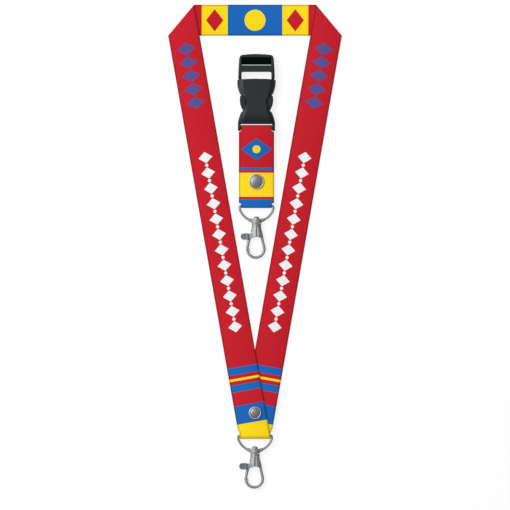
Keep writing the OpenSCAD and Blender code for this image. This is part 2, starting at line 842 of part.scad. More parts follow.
slot_land = slot_y + side_gap;
swell = mouth_w / 2 - window_half;
swell_run = 0.75 * (mouth_side - window_y);
socket_side = concat(
  [[end_w / 2, 0]],
  [for (i = [6:-1:0]) [waist_w / 2 + (end_w - waist_w) / 2 * sin(15 * i), waist_y - (waist_y - flare_y) * i / 6]],
  [for (i = [0:6]) [window_half + swell * sin(15 * i), window_y + swell_run * i / 6]],
  [[mouth_w / 2, mouth_side]]
);
mouth_edge = [
  for (i = [1:11])
    let (u = 1 - i / 6)
      [mouth_w / 2 * u, mouth_y - (mouth_y - mouth_side) * u * u]
];
socket_profile = concat(
  [[-2 * bar_d, -end_t / 2], [slot_land, -end_t / 2]],
  ramp([slot_land, -end_t / 2], [full_y, -socket_t / 2], 5),
  [[mouth_y + cut, -socket_t / 2], [mouth_y + cut, socket_t / 2], [full_y, socket_t / 2]],
  ramp([full_y, socket_t / 2], [slot_land, end_t / 2], 5),
  [[-2 * bar_d, end_t / 2]]
);

module socket_space() {
  translate([-cavity_half, window_low, -cavity_h / 2])
    cube([2 * cavity_half, mouth_y, cavity_h]);
  translate([-mouth_w, window_low, -cavity_h / 2])
    cube([2 * mouth_w, window_y - window_low, cavity_h]);
  translate([-mouth_w, shoulder_y, -cavity_h / 2])
    cube([2 * mouth_w, mouth_y, cavity_h]);
  for (side = [-1, 1])
    translate([side * notch_x, notch_y, -socket_t]) cylinder(h = 2 * socket_t, r = notch_r);
}

module socket() {
  difference() {
    intersection() {
      translate([0, 0, -socket_t / 2])
        linear_extrude(socket_t)
          polygon(concat(socket_side, mouth_edge, reversed(mirrored(socket_side))));
      across(mouth_w) polygon(socket_profile);
      translate([0, -bar_d, socket_t / 2 - crown_r])
        rotate([-90, 0, 0])
          cylinder(h = 2 * mouth_y, r = crown_r, $fn = 120);
    }
    socket_space();
    translate([-socket_slot, -bar_d, -socket_t]) cube([2 * socket_slot, bar_d + slot_y, 2 * socket_t]);
  }
  rod([-end_w / 2, 0], [end_w / 2, 0], bar_r, bar_r);
  for (side = [-1, 1])
    translate([side * (socket_slot + end_w / 2) / 2, 0, 0])
      rotate([0, 90, 0])
        cylinder(h = end_w / 2 - socket_slot, d = end_t, center = true);
}

module buckle_socket() {
  color(BLACK) at_buckle() socket();
}

// Buckle plug: ladder frame for the strap, shoulders inside the mouth and the centre tongue

frame_low = mouth_y + slide_gap;
frame_top = mouth_y + plug_len;
slot_low = base_top;
slot_high = mouth_y + slot_h;
ladder_low = slot_high + ladder_bar;
ladder_high = ladder_low + ladder_slot;
slant = cut * ladder_slot / plug_t;
corner_y = frame_top - corner_r - end_bow;
tongue_half_t = plug_half_t - 3 * slide_gap;

frame_side = concat(
  [[plug_w / 2, frame_low], [plug_top_w / 2 + slide_gap, ladder_low], [plug_top_w / 2, corner_y]],
  arc([plug_top_w / 2 - corner_r, corner_y], corner_r, 0, 80, 6)
);
frame_edge = [
  for (i = [0:10])
    let (u = 1 - i / 5)
      [(plug_top_w / 2 - corner_r) * u, frame_top - end_bow * u * u]
];

// Slanted slot: its outer wall leans under its mouth, so that it grips the strap
ladder_profile = [
  [ladder_low + 0.8 * slant, plug_t / 2 + cut],
  [ladder_high + slant, plug_t / 2 + cut],
  [ladder_low - slant, -plug_t / 2 - cut],
  [slot_high + 2 * side_gap - slant, -plug_t / 2 - cut]
];

module plug() {
  difference() {
    union() {
      translate([0, 0, -plug_t / 2])
        linear_extrude(plug_t)
          polygon(concat(frame_side, frame_edge, reversed(mirrored(frame_side))));
      translate([-plug_w / 2, shoulder_y + slide_gap, -plug_half_t])
        cube([plug_w, frame_low - shoulder_y, 2 * plug_half_t]);
      translate([-cavity_half + side_gap, base_low, -plug_half_t])
        cube([2 * (cavity_half - side_gap), base_top - base_low, 2 * plug_half_t]);
      translate([-tongue_w / 2, window_low + tongue_rise, -tongue_half_t])
        cube([tongue_w, base_top - window_low - tongue_rise, 2 * tongue_half_t]);
    }
    translate([-slot_w / 2, slot_low, -plug_t]) cube([slot_w, slot_high - slot_low, 2 * plug_t]);
    across(plug_top_w / 2 - ladder_rail) polygon(ladder_profile);
    for (side = [-1, 1])
      translate([side * arm_root[0], arm_root[1], -plug_t]) {
        cylinder(h = 2 * plug_t, r = root_r + slide_gap);
        translate([-root_r - slide_gap, -mouth_y, 0]) cube([2 * (root_r + slide_gap), mouth_y, 2 * plug_t]);
      }
  }
}

module buckle_plug() {
  color(BLACK) at_buckle() plug();
}

// Latch arms: sprung limbs whose thumb pads stand in the socket's side windows

limb_out = cavity_half - arm_gap;
limb_in = limb_out - arm_w;
pad_low = window_low + arm_gap;
pad_top = window_y - arm_gap;
pad_len = pad_top - pad_low;
pad_rise = pad_x - limb_out;

arm_outline = concat(
  [[limb_in, arm_root[1]], [root_x + root_r, arm_root[1]], [limb_out, pad_top + 3 * arm_gap]],
  curve([
    [limb_out + 0.1 * pad_rise, pad_top],
    [limb_out + 0.75 * pad_rise, pad_top],
    [pad_x, pad_low + 0.8 * pad_len],
    [pad_x, pad_low + 0.6 * pad_len],
    [limb_out + 0.75 * pad_rise, pad_low + 0.4 * pad_len],
    [limb_out + 0.3 * pad_rise, pad_low + 0.2 * pad_len],
    [limb_in + 0.7 * arm_w, pad_low + 0.03 * pad_len],
    [limb_in + 0.1 * arm_w, pad_low]
  ], 4),
  [[limb_in - 0.35 * arm_w, pad_low], [limb_in - 0.45 * arm_w, pad_low + 0.12 * pad_len]],
  [[limb_in - 0.45 * arm_w, pad_low + 0.7 * pad_len]]
);

module latch_arm() {
  translate([0, 0, -plug_half_t])
    linear_extrude(2 * plug_half_t)
      polygon(arm_outline);
  translate([arm_root[0], arm_root[1], -plug_half_t]) cylinder(h = 2 * plug_half_t, r = root_r);
}

module buckle_left_arm() {
  color(BLACK) at_buckle() mirror([1, 0, 0]) latch_arm();
}

module buckle_right_arm() {
  color(BLACK) at_buckle() latch_arm();
}

neck_strap();
neck_rivet_cap();
neck_rivet_stem();
neck_rivet_back();
neck_ring();
neck_swivel_pin();
neck_hook_body();
neck_gate();
neck_gate_pin();
neck_gate_spring();
tail_strap();
tail_rivet_cap();
tail_rivet_stem();
tail_rivet_back();
tail_ring();
tail_swivel_pin();
tail_hook_body();
tail_gate();
tail_gate_pin();
tail_gate_spring();
buckle_socket();
buckle_plug();
buckle_left_arm();
buckle_right_arm();
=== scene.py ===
import json
import math

import bpy
from mathutils import Matrix, Vector


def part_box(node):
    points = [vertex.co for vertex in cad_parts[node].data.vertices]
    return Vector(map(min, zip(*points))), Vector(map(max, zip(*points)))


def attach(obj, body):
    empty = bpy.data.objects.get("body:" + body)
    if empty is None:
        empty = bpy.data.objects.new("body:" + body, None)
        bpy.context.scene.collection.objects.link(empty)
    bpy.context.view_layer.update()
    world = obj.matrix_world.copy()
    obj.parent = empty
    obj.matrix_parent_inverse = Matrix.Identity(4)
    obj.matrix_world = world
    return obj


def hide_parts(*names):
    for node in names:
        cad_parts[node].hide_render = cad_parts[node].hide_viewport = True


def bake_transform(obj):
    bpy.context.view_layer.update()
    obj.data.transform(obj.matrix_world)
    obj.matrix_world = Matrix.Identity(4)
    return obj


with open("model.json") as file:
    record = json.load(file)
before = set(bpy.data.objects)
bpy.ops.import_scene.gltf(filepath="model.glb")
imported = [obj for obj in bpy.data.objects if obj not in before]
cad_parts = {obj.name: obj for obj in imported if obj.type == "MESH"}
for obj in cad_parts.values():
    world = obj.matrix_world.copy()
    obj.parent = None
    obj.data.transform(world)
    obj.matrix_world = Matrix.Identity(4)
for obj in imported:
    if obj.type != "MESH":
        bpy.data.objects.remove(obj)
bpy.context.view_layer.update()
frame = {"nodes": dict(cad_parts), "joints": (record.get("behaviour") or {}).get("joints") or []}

# The view: the lanyard lies flat on a white table and is seen straight from above, as in a
# catalogue picture. Soft light comes from all round, with one large lamp at the upper left, and the
# backdrop is plain white.
mm = 0.001
view_width = 411.3 * mm
view_middle = (0, -6.7 * mm)
view_height = 1

bpy.ops.object.select_all(action="DESELECT")
bpy.ops.object.camera_add(location=(*view_middle, view_height), rotation=(0, 0, 0))
camera = bpy.context.object
camera.data.type = "ORTHO"
camera.data.ortho_scale = view_width
bpy.context.scene.camera = camera
bpy.context.scene.view_settings.view_transform = "Standard"

lamp_at = Vector((-0.63, 0.34, 1.0))
lamp_width = 0.7
lamp_power = 9
bpy.ops.object.light_add(type="AREA", location=lamp_at)
lamp = bpy.context.object
lamp.data.size = lamp_width
lamp.data.energy = lamp_power
lamp.rotation_euler = (-lamp_at).to_track_quat("-Z", "Y").to_euler()


def add_node(tree, kind, sockets=(), **settings):
    """Adds a node with its settings and fills its sockets with links or plain values."""
    made = tree.nodes.new(kind)
    for key, value in settings.items():
        setattr(made, key, value)
    named = sockets.items() if isinstance(sockets, dict) else enumerate(sockets)
    for key, value in named:
        if isinstance(value, bpy.types.NodeSocket):
            tree.links.new(value, made.inputs[key])
        else:
            made.inputs[key].default_value = value
    return made.outputs[0] if made.outputs else None


def calc(tree, operation, *values):
    return add_node(tree, "ShaderNodeMath", values, operation=operation)


def material(name):
    """A new, empty material and its node tree."""
    made = bpy.data.materials.new(name)
    made.use_nodes = True
    made.node_tree.nodes.clear()
    return made, made.node_tree


def seen_ray(tree):
    """1 where the camera sees a surface straight, in a mirror or through glass."""
    path = tree.nodes.new("ShaderNodeLightPath")
    mirrored = calc(tree, "MAXIMUM", path.outputs["Is Glossy Ray"], path.outputs["Is Transmission Ray"])
    return calc(tree, "MAXIMUM", path.outputs["Is Camera Ray"], mirrored)


sky_tint = (0.98, 0.99, 1, 1)
plain_white = (1, 1, 1, 1)
sky_low = 0.28
sky_rise = 0.52
sky_to_lamp = 0.56
sky_least = 0.05
backdrop_top = 0.05
lamp_side = (-0.77, 0.64, 0)
world = bpy.data.worlds.new("studio")
world.use_nodes = True
bpy.context.scene.world = world
tree = world.node_tree
tree.nodes.clear()
heading = tree.nodes.new("ShaderNodeTexCoord").outputs["Generated"]
height = add_node(tree, "ShaderNodeSeparateXYZ", [heading]).node.outputs["Z"]
to_lamp = add_node(tree, "ShaderNodeVectorMath", [heading, lamp_side], operation="DOT_PRODUCT")
beside = to_lamp.node.outputs["Value"]
soft_level = calc(tree, "MULTIPLY_ADD", height, sky_rise, sky_low)
soft_level = calc(tree, "MULTIPLY_ADD", beside, sky_to_lamp, soft_level)
soft_level = calc(tree, "MAXIMUM", soft_level, sky_least)
soft_sky = add_node(tree, "ShaderNodeBackground", [sky_tint, soft_level])
white_sky = add_node(tree, "ShaderNodeBackground", [plain_white, 1.0])
in_backdrop = calc(tree, "LESS_THAN", height, backdrop_top)
backdrop = calc(tree, "MULTIPLY", seen_ray(tree), in_backdrop)
studio = add_node(tree, "ShaderNodeMixShader", [backdrop, soft_sky, white_sky])
add_node(tree, "ShaderNodeOutputWorld", [studio])

table_size = 6
table_drop = 0.1 * mm
table_colour = (0.86, 0.86, 0.86, 1)
table_glow = 0.76
glow_level = 1.05
bpy.ops.mesh.primitive_plane_add(size=table_size, location=(0, 0, -table_drop))
table_top = bpy.context.object
table_top.name = "table_top"
table_white, tree = material("table_white")
shaded = add_node(tree, "ShaderNodeBsdfDiffuse", [table_colour])
glow = add_node(tree, "ShaderNodeEmission", [plain_white, glow_level])
glow_share = calc(tree, "MULTIPLY", seen_ray(tree), table_glow)
surface = add_node(tree, "ShaderNodeMixShader", [glow_share, shaded, glow])
add_node(tree, "ShaderNodeOutputMaterial", [surface])
table_top.data.materials.append(table_white)

# Neck strap: one length of polyester ribbon, printed on both faces. It is folded flat at the two
# top corners, its legs cross, wrap the ring's bar and are turned back under the rivet. The print is
# laid out in mm along the ribbon from its middle, its rows as (first, pitch, count).
strap_w = 25 * mm
strap_t = 0.74 * mm
leg_lean = math.radians(10)
layer_step = 0.85 * mm
table_layer = 0.4 * mm
edge_round = 0.2 * mm
fold_r = 0.45 * mm
fold_cuts = 8

pivot = {j["name"]: Vector(j["pos_m"]) for j in frame["joints"] if "pos_m" in j}


def middle_of(node):
    low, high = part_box(node)
    return (low + high) / 2


def ramp(start, end, steps=8):
    """Points of a smooth rise from start to end, without the first one."""
    points = []
    for i in range(1, steps + 1):
        share = i / steps
        rise = (1 - math.cos(math.pi * share)) / 2
        points.append((start[0] + (end[0] - start[0]) * share, start[1] + (end[1] - start[1]) * rise))
    return points


def turn(centre, radius, first, last, steps=12):
    """Points round an arc, angles in degrees, without the first one."""
    angles = [math.radians(first + (last - first) * i / steps) for i in range(1, steps + 1)]
    return [(centre[0] + radius * math.cos(a), centre[1] + radius * math.sin(a)) for a in angles]


def run_lengths(path):
    """How far along the path each of its points lies."""
    lengths = [0]
    for (y0, z0), (y1, z1) in zip(path, path[1:]):
        lengths.append(lengths[-1] + math.hypot(y1 - y0, z1 - z0))
    return lengths


def along(path, lengths, distance):
    """The point of a path at a distance from its start; past its ends it runs straight on."""
    i = 0
    while i < len(path) - 2 and lengths[i + 1] < distance:
        i += 1
    share = (distance - lengths[i]) / (lengths[i + 1] - lengths[i])
    (y0, z0), (y1, z1) = path[i], path[i + 1]
    return y0 + (y1 - y0) * share, z0 + (z1 - z0) * share


strap_low, strap_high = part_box("neck_strap")
band_mid = strap_high.y - strap_w / 2
cross_y = strap_low.y
fold_x = (band_mid - cross_y) * math.tan(leg_lean)
fold_turn = math.pi / 4 - leg_lean / 2
neck_bar = pivot["neck_ring_swing"]
neck_rivet = middle_of("neck_rivet_cap")
rivet_margin = 1 * mm
neck_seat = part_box("neck_rivet_cap")[1].x + rivet_margin
disc_to_layer = 0.45 * mm
first_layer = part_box("neck_rivet_back")[1].z + disc_to_layer
bar_wrap = 1.4 * mm
turned_back = 24 * mm
drop_from, drop_to = 3 * mm, 27 * mm
part_from, part_to = 97 * mm, 71 * mm
climb_run = 22 * mm
ring_room = 12.4 * mm
gather_from = 1.9 * mm
gather_lean = 0.46


def leg_path(over):
    """Side view (y, z) of a leg's route; the left leg, over = 1, lies over the right one."""
    upper = table_layer + 2 * fold_r
    low = table_layer + over * layer_step
    front = first_layer + (2 + over) * layer_step
    back = first_layer + (1 - over) * layer_step
    wrap = bar_wrap + over * layer_step
    band_low = strap_high.y - strap_w
    drop = (band_low - drop_from, upper), (band_low - drop_to, table_layer)
    part = (neck_bar.y + part_from, table_layer), (neck_bar.y + part_to, low)
    climb = (neck_rivet.y + neck_seat + climb_run, low), (neck_rivet.y + neck_seat, front)
    bend = (neck_rivet.y - neck_seat, front), (neck_bar.y, neck_bar.z + wrap)
    tuck = (neck_bar.y, neck_bar.z - wrap), (neck_rivet.y - neck_seat, back)
    path = [(strap_high.y, upper)]
    for start, end in (drop, part, climb, bend):
        path += [start, *ramp(start, end)]
    path += turn((neck_bar.y, neck_bar.z), wrap, 90, 270)
    return [*path, *ramp(*tuck), (neck_bar.y + turned_back, back)]


def fold_line(side):
    """A point on a corner's fold and the way across it, in the flat ribbon's plane."""
    across = Vector((side * math.cos(fold_turn), math.sin(fold_turn), 0))
    return Vector((side * fold_x, band_mid, 0)), across


leg_routes = {}
for side in (-1, 1):
    route = leg_path(over=1 if side < 0 else 0)
    leg_routes[side] = (route, run_lengths(route))
leg_run = min(lengths[-1] for route, lengths in leg_routes.values())
strap_len = 2 * (fold_x + (leg_run - strap_w / 2) / math.cos(leg_lean))


def laid_down(flat):
    """Where a point of the flat ribbon comes to lie on the folded lanyard."""
    side = 1 if flat.x > 0 else -1
    centre, across = fold_line(side)
    past = (flat - centre).dot(across) + math.pi * fold_r / 2
    if past <= 0:
        return Vector((flat.x, flat.y, table_layer))
    if past < math.pi * fold_r:
        place = flat - (past - fold_r * math.sin(past / fold_r)) * across
        return Vector((place.x, place.y, table_layer + fold_r * (1 - math.cos(past / fold_r))))
    place = flat - (2 * past - math.pi * fold_r) * across
    y, z = along(*leg_routes[side], strap_high.y - place.y)
    if place.y < neck_rivet.y:
        room = ring_room + gather_lean * max(0, place.y - neck_bar.y - gather_from)
        place.x = max(-room, min(room, place.x))
    return Vector((place.x, y, z))


def flat_ribbon(name, length, width, cuts):
    """A flat ribbon along X, cut across where it will bend: cuts are (point, way across)."""
    bpy.ops.object.select_all(action="DESELECT")
    bpy.ops.mesh.primitive_plane_add(size=1)
    ribbon = bpy.context.object
    ribbon.name = name
    ribbon.data.name = name
    ribbon.scale = (length, width, 1)
    bpy.ops.object.transform_apply(scale=True)
    bpy.ops.object.mode_set(mode="EDIT")
    for point, across in cuts:
        bpy.ops.mesh.select_all(action="SELECT")
        bpy.ops.mesh.bisect(plane_co=point, plane_no=across)
    bpy.ops.object.mode_set(mode="OBJECT")
    for corner in ribbon.data.loops:
        at = ribbon.data.vertices[corner.vertex_index].co
        ribbon.data.uv_layers.active.data[corner.index].uv = (at.x / length + 0.5, at.y / width + 0.5)
    return ribbon


def pick(piece):
    """Selects one piece and nothing else."""
    bpy.ops.object.select_all(action="DESELECT")
    piece.select_set(True)
    bpy.context.view_layer.objects.active = piece


def apply_modifiers(piece):
    pick(piece)
    for modifier in list(piece.modifiers):
        bpy.ops.object.modifier_apply(modifier=modifier.name)


def soften(piece, width):
    """Rounds the sharp edges of a piece."""
    edge = piece.modifiers.new("soft_edge", "BEVEL")
    edge.width = width
    edge.segments = 3
    edge.limit_method = "ANGLE"
    edge.angle_limit = math.radians(60)
    apply_modifiers(piece)
    bpy.ops.object.shade_smooth_by_angle(angle=math.radians(40))


def make_webbing(ribbon):
    """Gives a laid ribbon its thickness and softly rounded edges."""
    solid = ribbon.modifiers.new("thickness", "SOLIDIFY")
    solid.thickness = strap_t
    solid.offset = 0
    solid.use_even_offset = True
    soften(ribbon, edge_round)


neck_cuts = []
to_band = Vector((0, band_mid, 0))
for side in (-1, 1):
    centre, across = fold_line(side)
    down_leg = Vector((side * math.cos(leg_lean), -math.sin(leg_lean), 0))
    for i in range(fold_cuts + 1):
        step = (i / fold_cuts - 0.5) * math.pi * fold_r
        neck_cuts.append((centre + step * across - to_band, across))
    for distance in leg_routes[side][1][1:-1]:
        down = Vector((0, strap_high.y - distance, 0))
        mirrored = down - 2 * (down - centre).dot(across) * across
        neck_cuts.append((mirrored - to_band, down_leg))

neck_strap = flat_ribbon("neck_webbing", strap_len, strap_w, neck_cuts)
for point in neck_strap.data.vertices:
    point.co = laid_down(point.co + to_band)
make_webbing(neck_strap)

red = (0.54, 0.0085, 0.019, 1)
blue = (0.006, 0.128, 0.475, 1)
yellow = (0.97, 0.69, 0.006, 1)
violet = (0.095, 0.075, 0.27, 1)
white = (0.88, 0.88, 0.87, 1)


def stripe(tree, place, start, end):
    """1 between two places along the ribbon."""
    past_start = calc(tree, "GREATER_THAN", place, start)
    return calc(tree, "MULTIPLY", past_start, calc(tree, "LESS_THAN", place, end))


def disc(tree, place, across, radius):
    squares = calc(tree, "ADD", calc(tree, "POWER", place, 2.0), calc(tree, "POWER", across, 2.0))
    return calc(tree, "LESS_THAN", calc(tree, "SQRT", squares), radius)


def diamond(tree, place, across, half_long, half_wide):
    long = calc(tree, "DIVIDE", calc(tree, "ABSOLUTE", place), half_long)
    wide = calc(tree, "DIVIDE", calc(tree, "ABSOLUTE", across), half_wide)
    return calc(tree, "LESS_THAN", calc(tree, "ADD", long, wide), 1.0)


def row(tree, place, first, pitch, count):
    """The place within one repeat of a row of motifs, and 1 where the row is."""
    shifted = calc(tree, "SUBTRACT", place, first)
    inside = calc(tree, "WRAP", shifted, pitch / 2, -pitch / 2)
    return inside, stripe(tree, shifted, -pitch / 2, (count - 0.5) * pitch)


def print_over(tree, ground, mask, ink):
    return add_node(tree, "ShaderNodeMixRGB", [mask, ground, ink])


middle_block_end = 22.0
side_block_end = 43.0
side_diamond_at = 32.5
side_diamond = 7.0, 9.0
middle_disc_r = 8.5
leg_row = 83.0, 11.0, 5
leg_diamond = 5.0, 7.5
border_row = 172.0, 12.6, 12
border_diamond = 4.6, 5.6
bead_row = 178.3, 12.6, 11
bead_r = 1.3
end_stripes = (343.0, 349.0, blue), (352.0, 354.0, yellow), (357.0, 363.0, blue)
end_blocks = (374.0, 389.0, blue), (389.0, 500.0, yellow)


def neck_print(tree, place, across):
    """Colour blocks on the band, a column of diamonds on each leg, a white border and end blocks."""
    place = calc(tree, "ABSOLUTE", place)
    colour = print_over(tree, red, stripe(tree, place, middle_block_end, side_block_end), yellow)
    at = calc(tree, "SUBTRACT", place, side_diamond_at)
    colour = print_over(tree, colour, diamond(tree, at, across, *side_diamond), red)
    colour = print_over(tree, colour, calc(tree, "LESS_THAN", place, middle_block_end), blue)
    colour = print_over(tree, colour, disc(tree, place, across, middle_disc_r), yellow)
    for motifs, size, ink in ((leg_row, leg_diamond, violet), (border_row, border_diamond, white)):
        inside, here = row(tree, place, *motifs)
        shape = calc(tree, "MULTIPLY", diamond(tree, inside, across, *size), here)
        colour = print_over(tree, colour, shape, ink)
    inside, here = row(tree, place, *bead_row)
    shape = calc(tree, "MULTIPLY", disc(tree, inside, across, bead_r), here)
    colour = print_over(tree, colour, shape, white)
    for start, end, ink in (*end_stripes, *end_blocks):
        colour = print_over(tree, colour, stripe(tree, place, start, end), ink)
    return colour


def webbing_material(name, length, width, draw_print):
    """Printed polyester ribbon: a fine woven surface, a printed colour and darker edges, partly the woven
    edge and partly painted shade.
    """
    rib = 0.55
    dark_edge_w = 1.7
    woven_edge_and_painted_shade = 0.45
    made, tree = material(name)
    uv = add_node(tree, "ShaderNodeUVMap", uv_map="UVMap")
    flat = add_node(tree, "ShaderNodeSeparateXYZ", [uv]).node
    place = calc(tree, "MULTIPLY", calc(tree, "SUBTRACT", flat.outputs[0], 0.5), length / mm)
    across = calc(tree, "MULTIPLY", calc(tree, "SUBTRACT", flat.outputs[1], 0.5), width / mm)
    colour = draw_print(tree, place, across)
    warp = calc(tree, "SINE", calc(tree, "MULTIPLY", across, 2 * math.pi / rib))
    weft = calc(tree, "SINE", calc(tree, "MULTIPLY", place, 2 * math.pi / rib))
    weave = calc(tree, "MULTIPLY", warp, weft)
    threads = add_node(tree, "ShaderNodeMapRange", [weave, -1.0, 1.0, 0.86, 1.04])
    # Both edges are darkened towards the rim: partly the ribbon's woven edge, partly painted shade for
    # the thin shadow line along the strap's edges.
    off_middle = calc(tree, "ABSOLUTE", across)
    dark_edge_span = width / mm / 2 - dark_edge_w, width / mm / 2
    edge = add_node(tree, "ShaderNodeMapRange", [off_middle, *dark_edge_span, 1.0, woven_edge_and_painted_shade])
    shade = calc(tree, "MULTIPLY", threads, edge)
    colour = add_node(tree, "ShaderNodeMixRGB", [1.0, colour, shade], blend_type="MULTIPLY")
    bump = add_node(tree, "ShaderNodeBump", {"Strength": 0.35, "Distance": 0.08 * mm, "Height": weave})
    cloth = {"Base Color": colour, "Roughness": 0.66, "Sheen Weight": 0.04, "Specular IOR Level": 0.12}
    surface = add_node(tree, "ShaderNodeBsdfPrincipled", {**cloth, "Normal": bump})
    add_node(tree, "ShaderNodeOutputMaterial", [surface])
    return made


neck_strap.data.materials.append(webbing_material("neck_print", strap_len, strap_w, neck_print))
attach(neck_strap, "neck_loop")
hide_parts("neck_strap")

# Tail strap: a shorter, wider length of the same printed ribbon. It goes round the ring's bar and
# the buckle's bar, drawn in a little at both, and its lapped ends are clamped by the rivet. Its print
# is laid out in mm from the turn round the ring's bar.
tail_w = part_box("tail_strap")[1].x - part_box("tail_strap")[0].x
tail_bar = pivot["tail_ring_swing"]
buckle_bar = pivot["buckle_swing"]
tail_rivet = middle_of("tail_rivet_cap")
tail_lap = 9 * mm
lap_margin = 1 * mm
ring_narrow = 1.8 * mm, 2.2 * mm
buckle_narrow = 2.75 * mm, 3.3 * mm
buckle_wrap = 1.8 * mm


def tail_path():
    """Side view (y, z) of the tail strap's route from one lapped end to the other."""
    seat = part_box("tail_rivet_cap")[1].x - tail_rivet.x + rivet_margin
    lap = first_layer, first_layer + layer_step, first_layer + 2 * layer_step
    back = (tail_rivet.y - seat, lap[0]), (tail_bar.y, tail_bar.z - bar_wrap)
    front = (tail_bar.y, tail_bar.z + bar_wrap), (tail_rivet.y - seat, lap[2])
    rise = (tail_rivet.y + seat, lap[2]), (buckle_bar.y, buckle_bar.z + buckle_wrap)
    fall = (buckle_bar.y, buckle_bar.z - buckle_wrap), (tail_rivet.y + tail_lap + lap_margin, lap[1])
    path = [(tail_rivet.y + tail_lap, lap[0]), back[0], *ramp(*back)]
    path += [*turn((tail_bar.y, tail_bar.z), bar_wrap, 270, 90), *ramp(*front), rise[0], *ramp(*rise)]
    path += turn((buckle_bar.y, buckle_bar.z), buckle_wrap, 90, -90)
    return [*path, *ramp(*fall), (tail_rivet.y - tail_lap, lap[1])]


def crossings(path, lengths, level):
    """How far along the path it passes a place in y."""
    found = []
    for i in range(len(path) - 1):
        start, end = path[i][0], path[i + 1][0]
        if (start - level) * (end - level) < 0:
            found.append(lengths[i] + (lengths[i + 1] - lengths[i]) * (level - start) / (end - start))
    return found


def drawn_in(distance, narrow):
    """Half the tail strap's width at a distance from a bar that it is drawn in for."""
    share = max(0, min(1, (distance - narrow[0]) / (narrow[1] - narrow[0])))
    return ring_room + (tail_w / 2 - ring_room) * share


def cuts_across(runs, length):
    """Cuts straight across a ribbon, at places along it."""
    along_ribbon = Vector((1, 0, 0))
    return [((run - length / 2) * along_ribbon, along_ribbon) for run in runs]


tail_route = tail_path()
tail_runs = run_lengths(tail_route)
tail_len = tail_runs[-1]
tail_front = tail_runs[tail_route.index(min(tail_route))]
tail_cuts = tail_runs[1:-1]
for narrow in ring_narrow:
    tail_cuts += crossings(tail_route, tail_runs, tail_bar.y + narrow)
for narrow in buckle_narrow:
    tail_cuts += crossings(tail_route, tail_runs, buckle_bar.y - narrow)
tail_strap = flat_ribbon("tail_webbing", tail_len, tail_w, cuts_across(tail_cuts, tail_len))
for point in tail_strap.data.vertices:
    y, z = along(tail_route, tail_runs, point.co.x + tail_len / 2)
    half = min(drawn_in(y - tail_bar.y, ring_narrow), drawn_in(buckle_bar.y - y, buckle_narrow))
    point.co = (tail_bar.x + point.co.y * 2 * half / tail_w, y, z)
make_webbing(tail_strap)

tail_blocks = (-40.0, 7.5, blue), (9.5, 29.0, yellow), (31.0, 33.0, blue)
tail_diamond_at = 48.0
tail_diamond = 9.0, 12.5
tail_disc_r = 3.2


def tail_print(tree, place, across):
    """A blue foot, a yellow block round the rivet and a red block with a blue diamond."""
    place = calc(tree, "SUBTRACT", place, (tail_front - tail_len / 2) / mm)
    colour = red
    for start, end, ink in tail_blocks:
        colour = print_over(tree, colour, stripe(tree, place, start, end), ink)
    at = calc(tree, "SUBTRACT", place, tail_diamond_at)
    colour = print_over(tree, colour, diamond(tree, at, across, *tail_diamond), blue)
    return print_over(tree, colour, disc(tree, at, across, tail_disc_r), yellow)


tail_strap.data.materials.append(webbing_material("tail_print", tail_len, tail_w, tail_print))
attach(tail_strap, "tail")
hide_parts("tail_strap")

# Rivets: a pressed nickel cap with a rolled rim and a low dome, set through all layers of the strap
# on a stem that is flared over a flat back disc. Stem and back disc are kept from the frame.
rim_w = 1.2 * mm
rim_gap = 0.2 * mm
dome_edge = 0.76


def start_piece(name, points, edges, faces):
    """Starts a piece from plain points, left in edit mode with all of it selected."""
    mesh = bpy.data.meshes.new(name)
    mesh.from_pydata(points, edges, faces)
    piece = bpy.data.objects.new(name, mesh)
    bpy.context.scene.collection.objects.link(piece)
    pick(piece)
    bpy.ops.object.mode_set(mode="EDIT")
    bpy.ops.mesh.select_all(action="SELECT")
    return piece


def turned(name, profile, at, axis="Z"):
    """A turned piece: half its profile of (radius, height) spun round an axis through a place."""
    edges = [(i, i + 1) for i in range(len(profile) - 1)]
    piece = start_piece(name, [(r, 0, h) for r, h in profile], edges, [])
    bpy.ops.mesh.spin(steps=64, angle=2 * math.pi, center=(0, 0, 0), axis=(0, 0, 1))
    bpy.ops.mesh.select_all(action="SELECT")
    bpy.ops.mesh.remove_doubles(threshold=1e-6)
    bpy.ops.mesh.normals_make_consistent(inside=False)
    bpy.ops.object.mode_set(mode="OBJECT")
    if axis == "Y":
        piece.data.transform(Matrix.Rotation(-math.pi / 2, 4, "X"))
    piece.data.transform(Matrix.Translation(at))
    bpy.ops.object.shade_smooth_by_angle(angle=math.radians(40))
    return piece


def metal(name, colour, rough, pits):
    """Nickel-plated metal: a fine uneven polish, faint stains and a cast or drawn skin."""
    made, tree = material(name)
    place = tree.nodes.new("ShaderNodeTexCoord").outputs["Object"]
    fine = add_node(tree, "ShaderNodeTexNoise", {"Vector": place, "Scale": 1400.0, "Detail": 5.0})
    stain = add_node(tree, "ShaderNodeTexNoise", {"Vector": place, "Scale": 320.0, "Detail": 3.0})
    polish = add_node(tree, "ShaderNodeMapRange", [fine, 0.3, 0.7, rough - 0.05, rough + 0.09])
    shade = add_node(tree, "ShaderNodeMapRange", [stain, 0.3, 0.7, 0.82, 1.06])
    colour = add_node(tree, "ShaderNodeMixRGB", [1.0, colour, shade], blend_type="MULTIPLY")
    bump = add_node(tree, "ShaderNodeBump", {"Strength": pits, "Distance": 0.1 * mm, "Height": fine})
    plating = {"Base Color": colour, "Metallic": 1.0, "Roughness": polish, "Normal": bump}
    surface = add_node(tree, "ShaderNodeBsdfPrincipled", plating)
    add_node(tree, "ShaderNodeOutputMaterial", [surface])
    return made


nickel = metal("nickel", (0.325, 0.335, 0.34, 1), 0.53, 0.06)
cap_nickel = metal("cap_nickel", (0.22, 0.225, 0.23, 1), 0.32, 0.04)
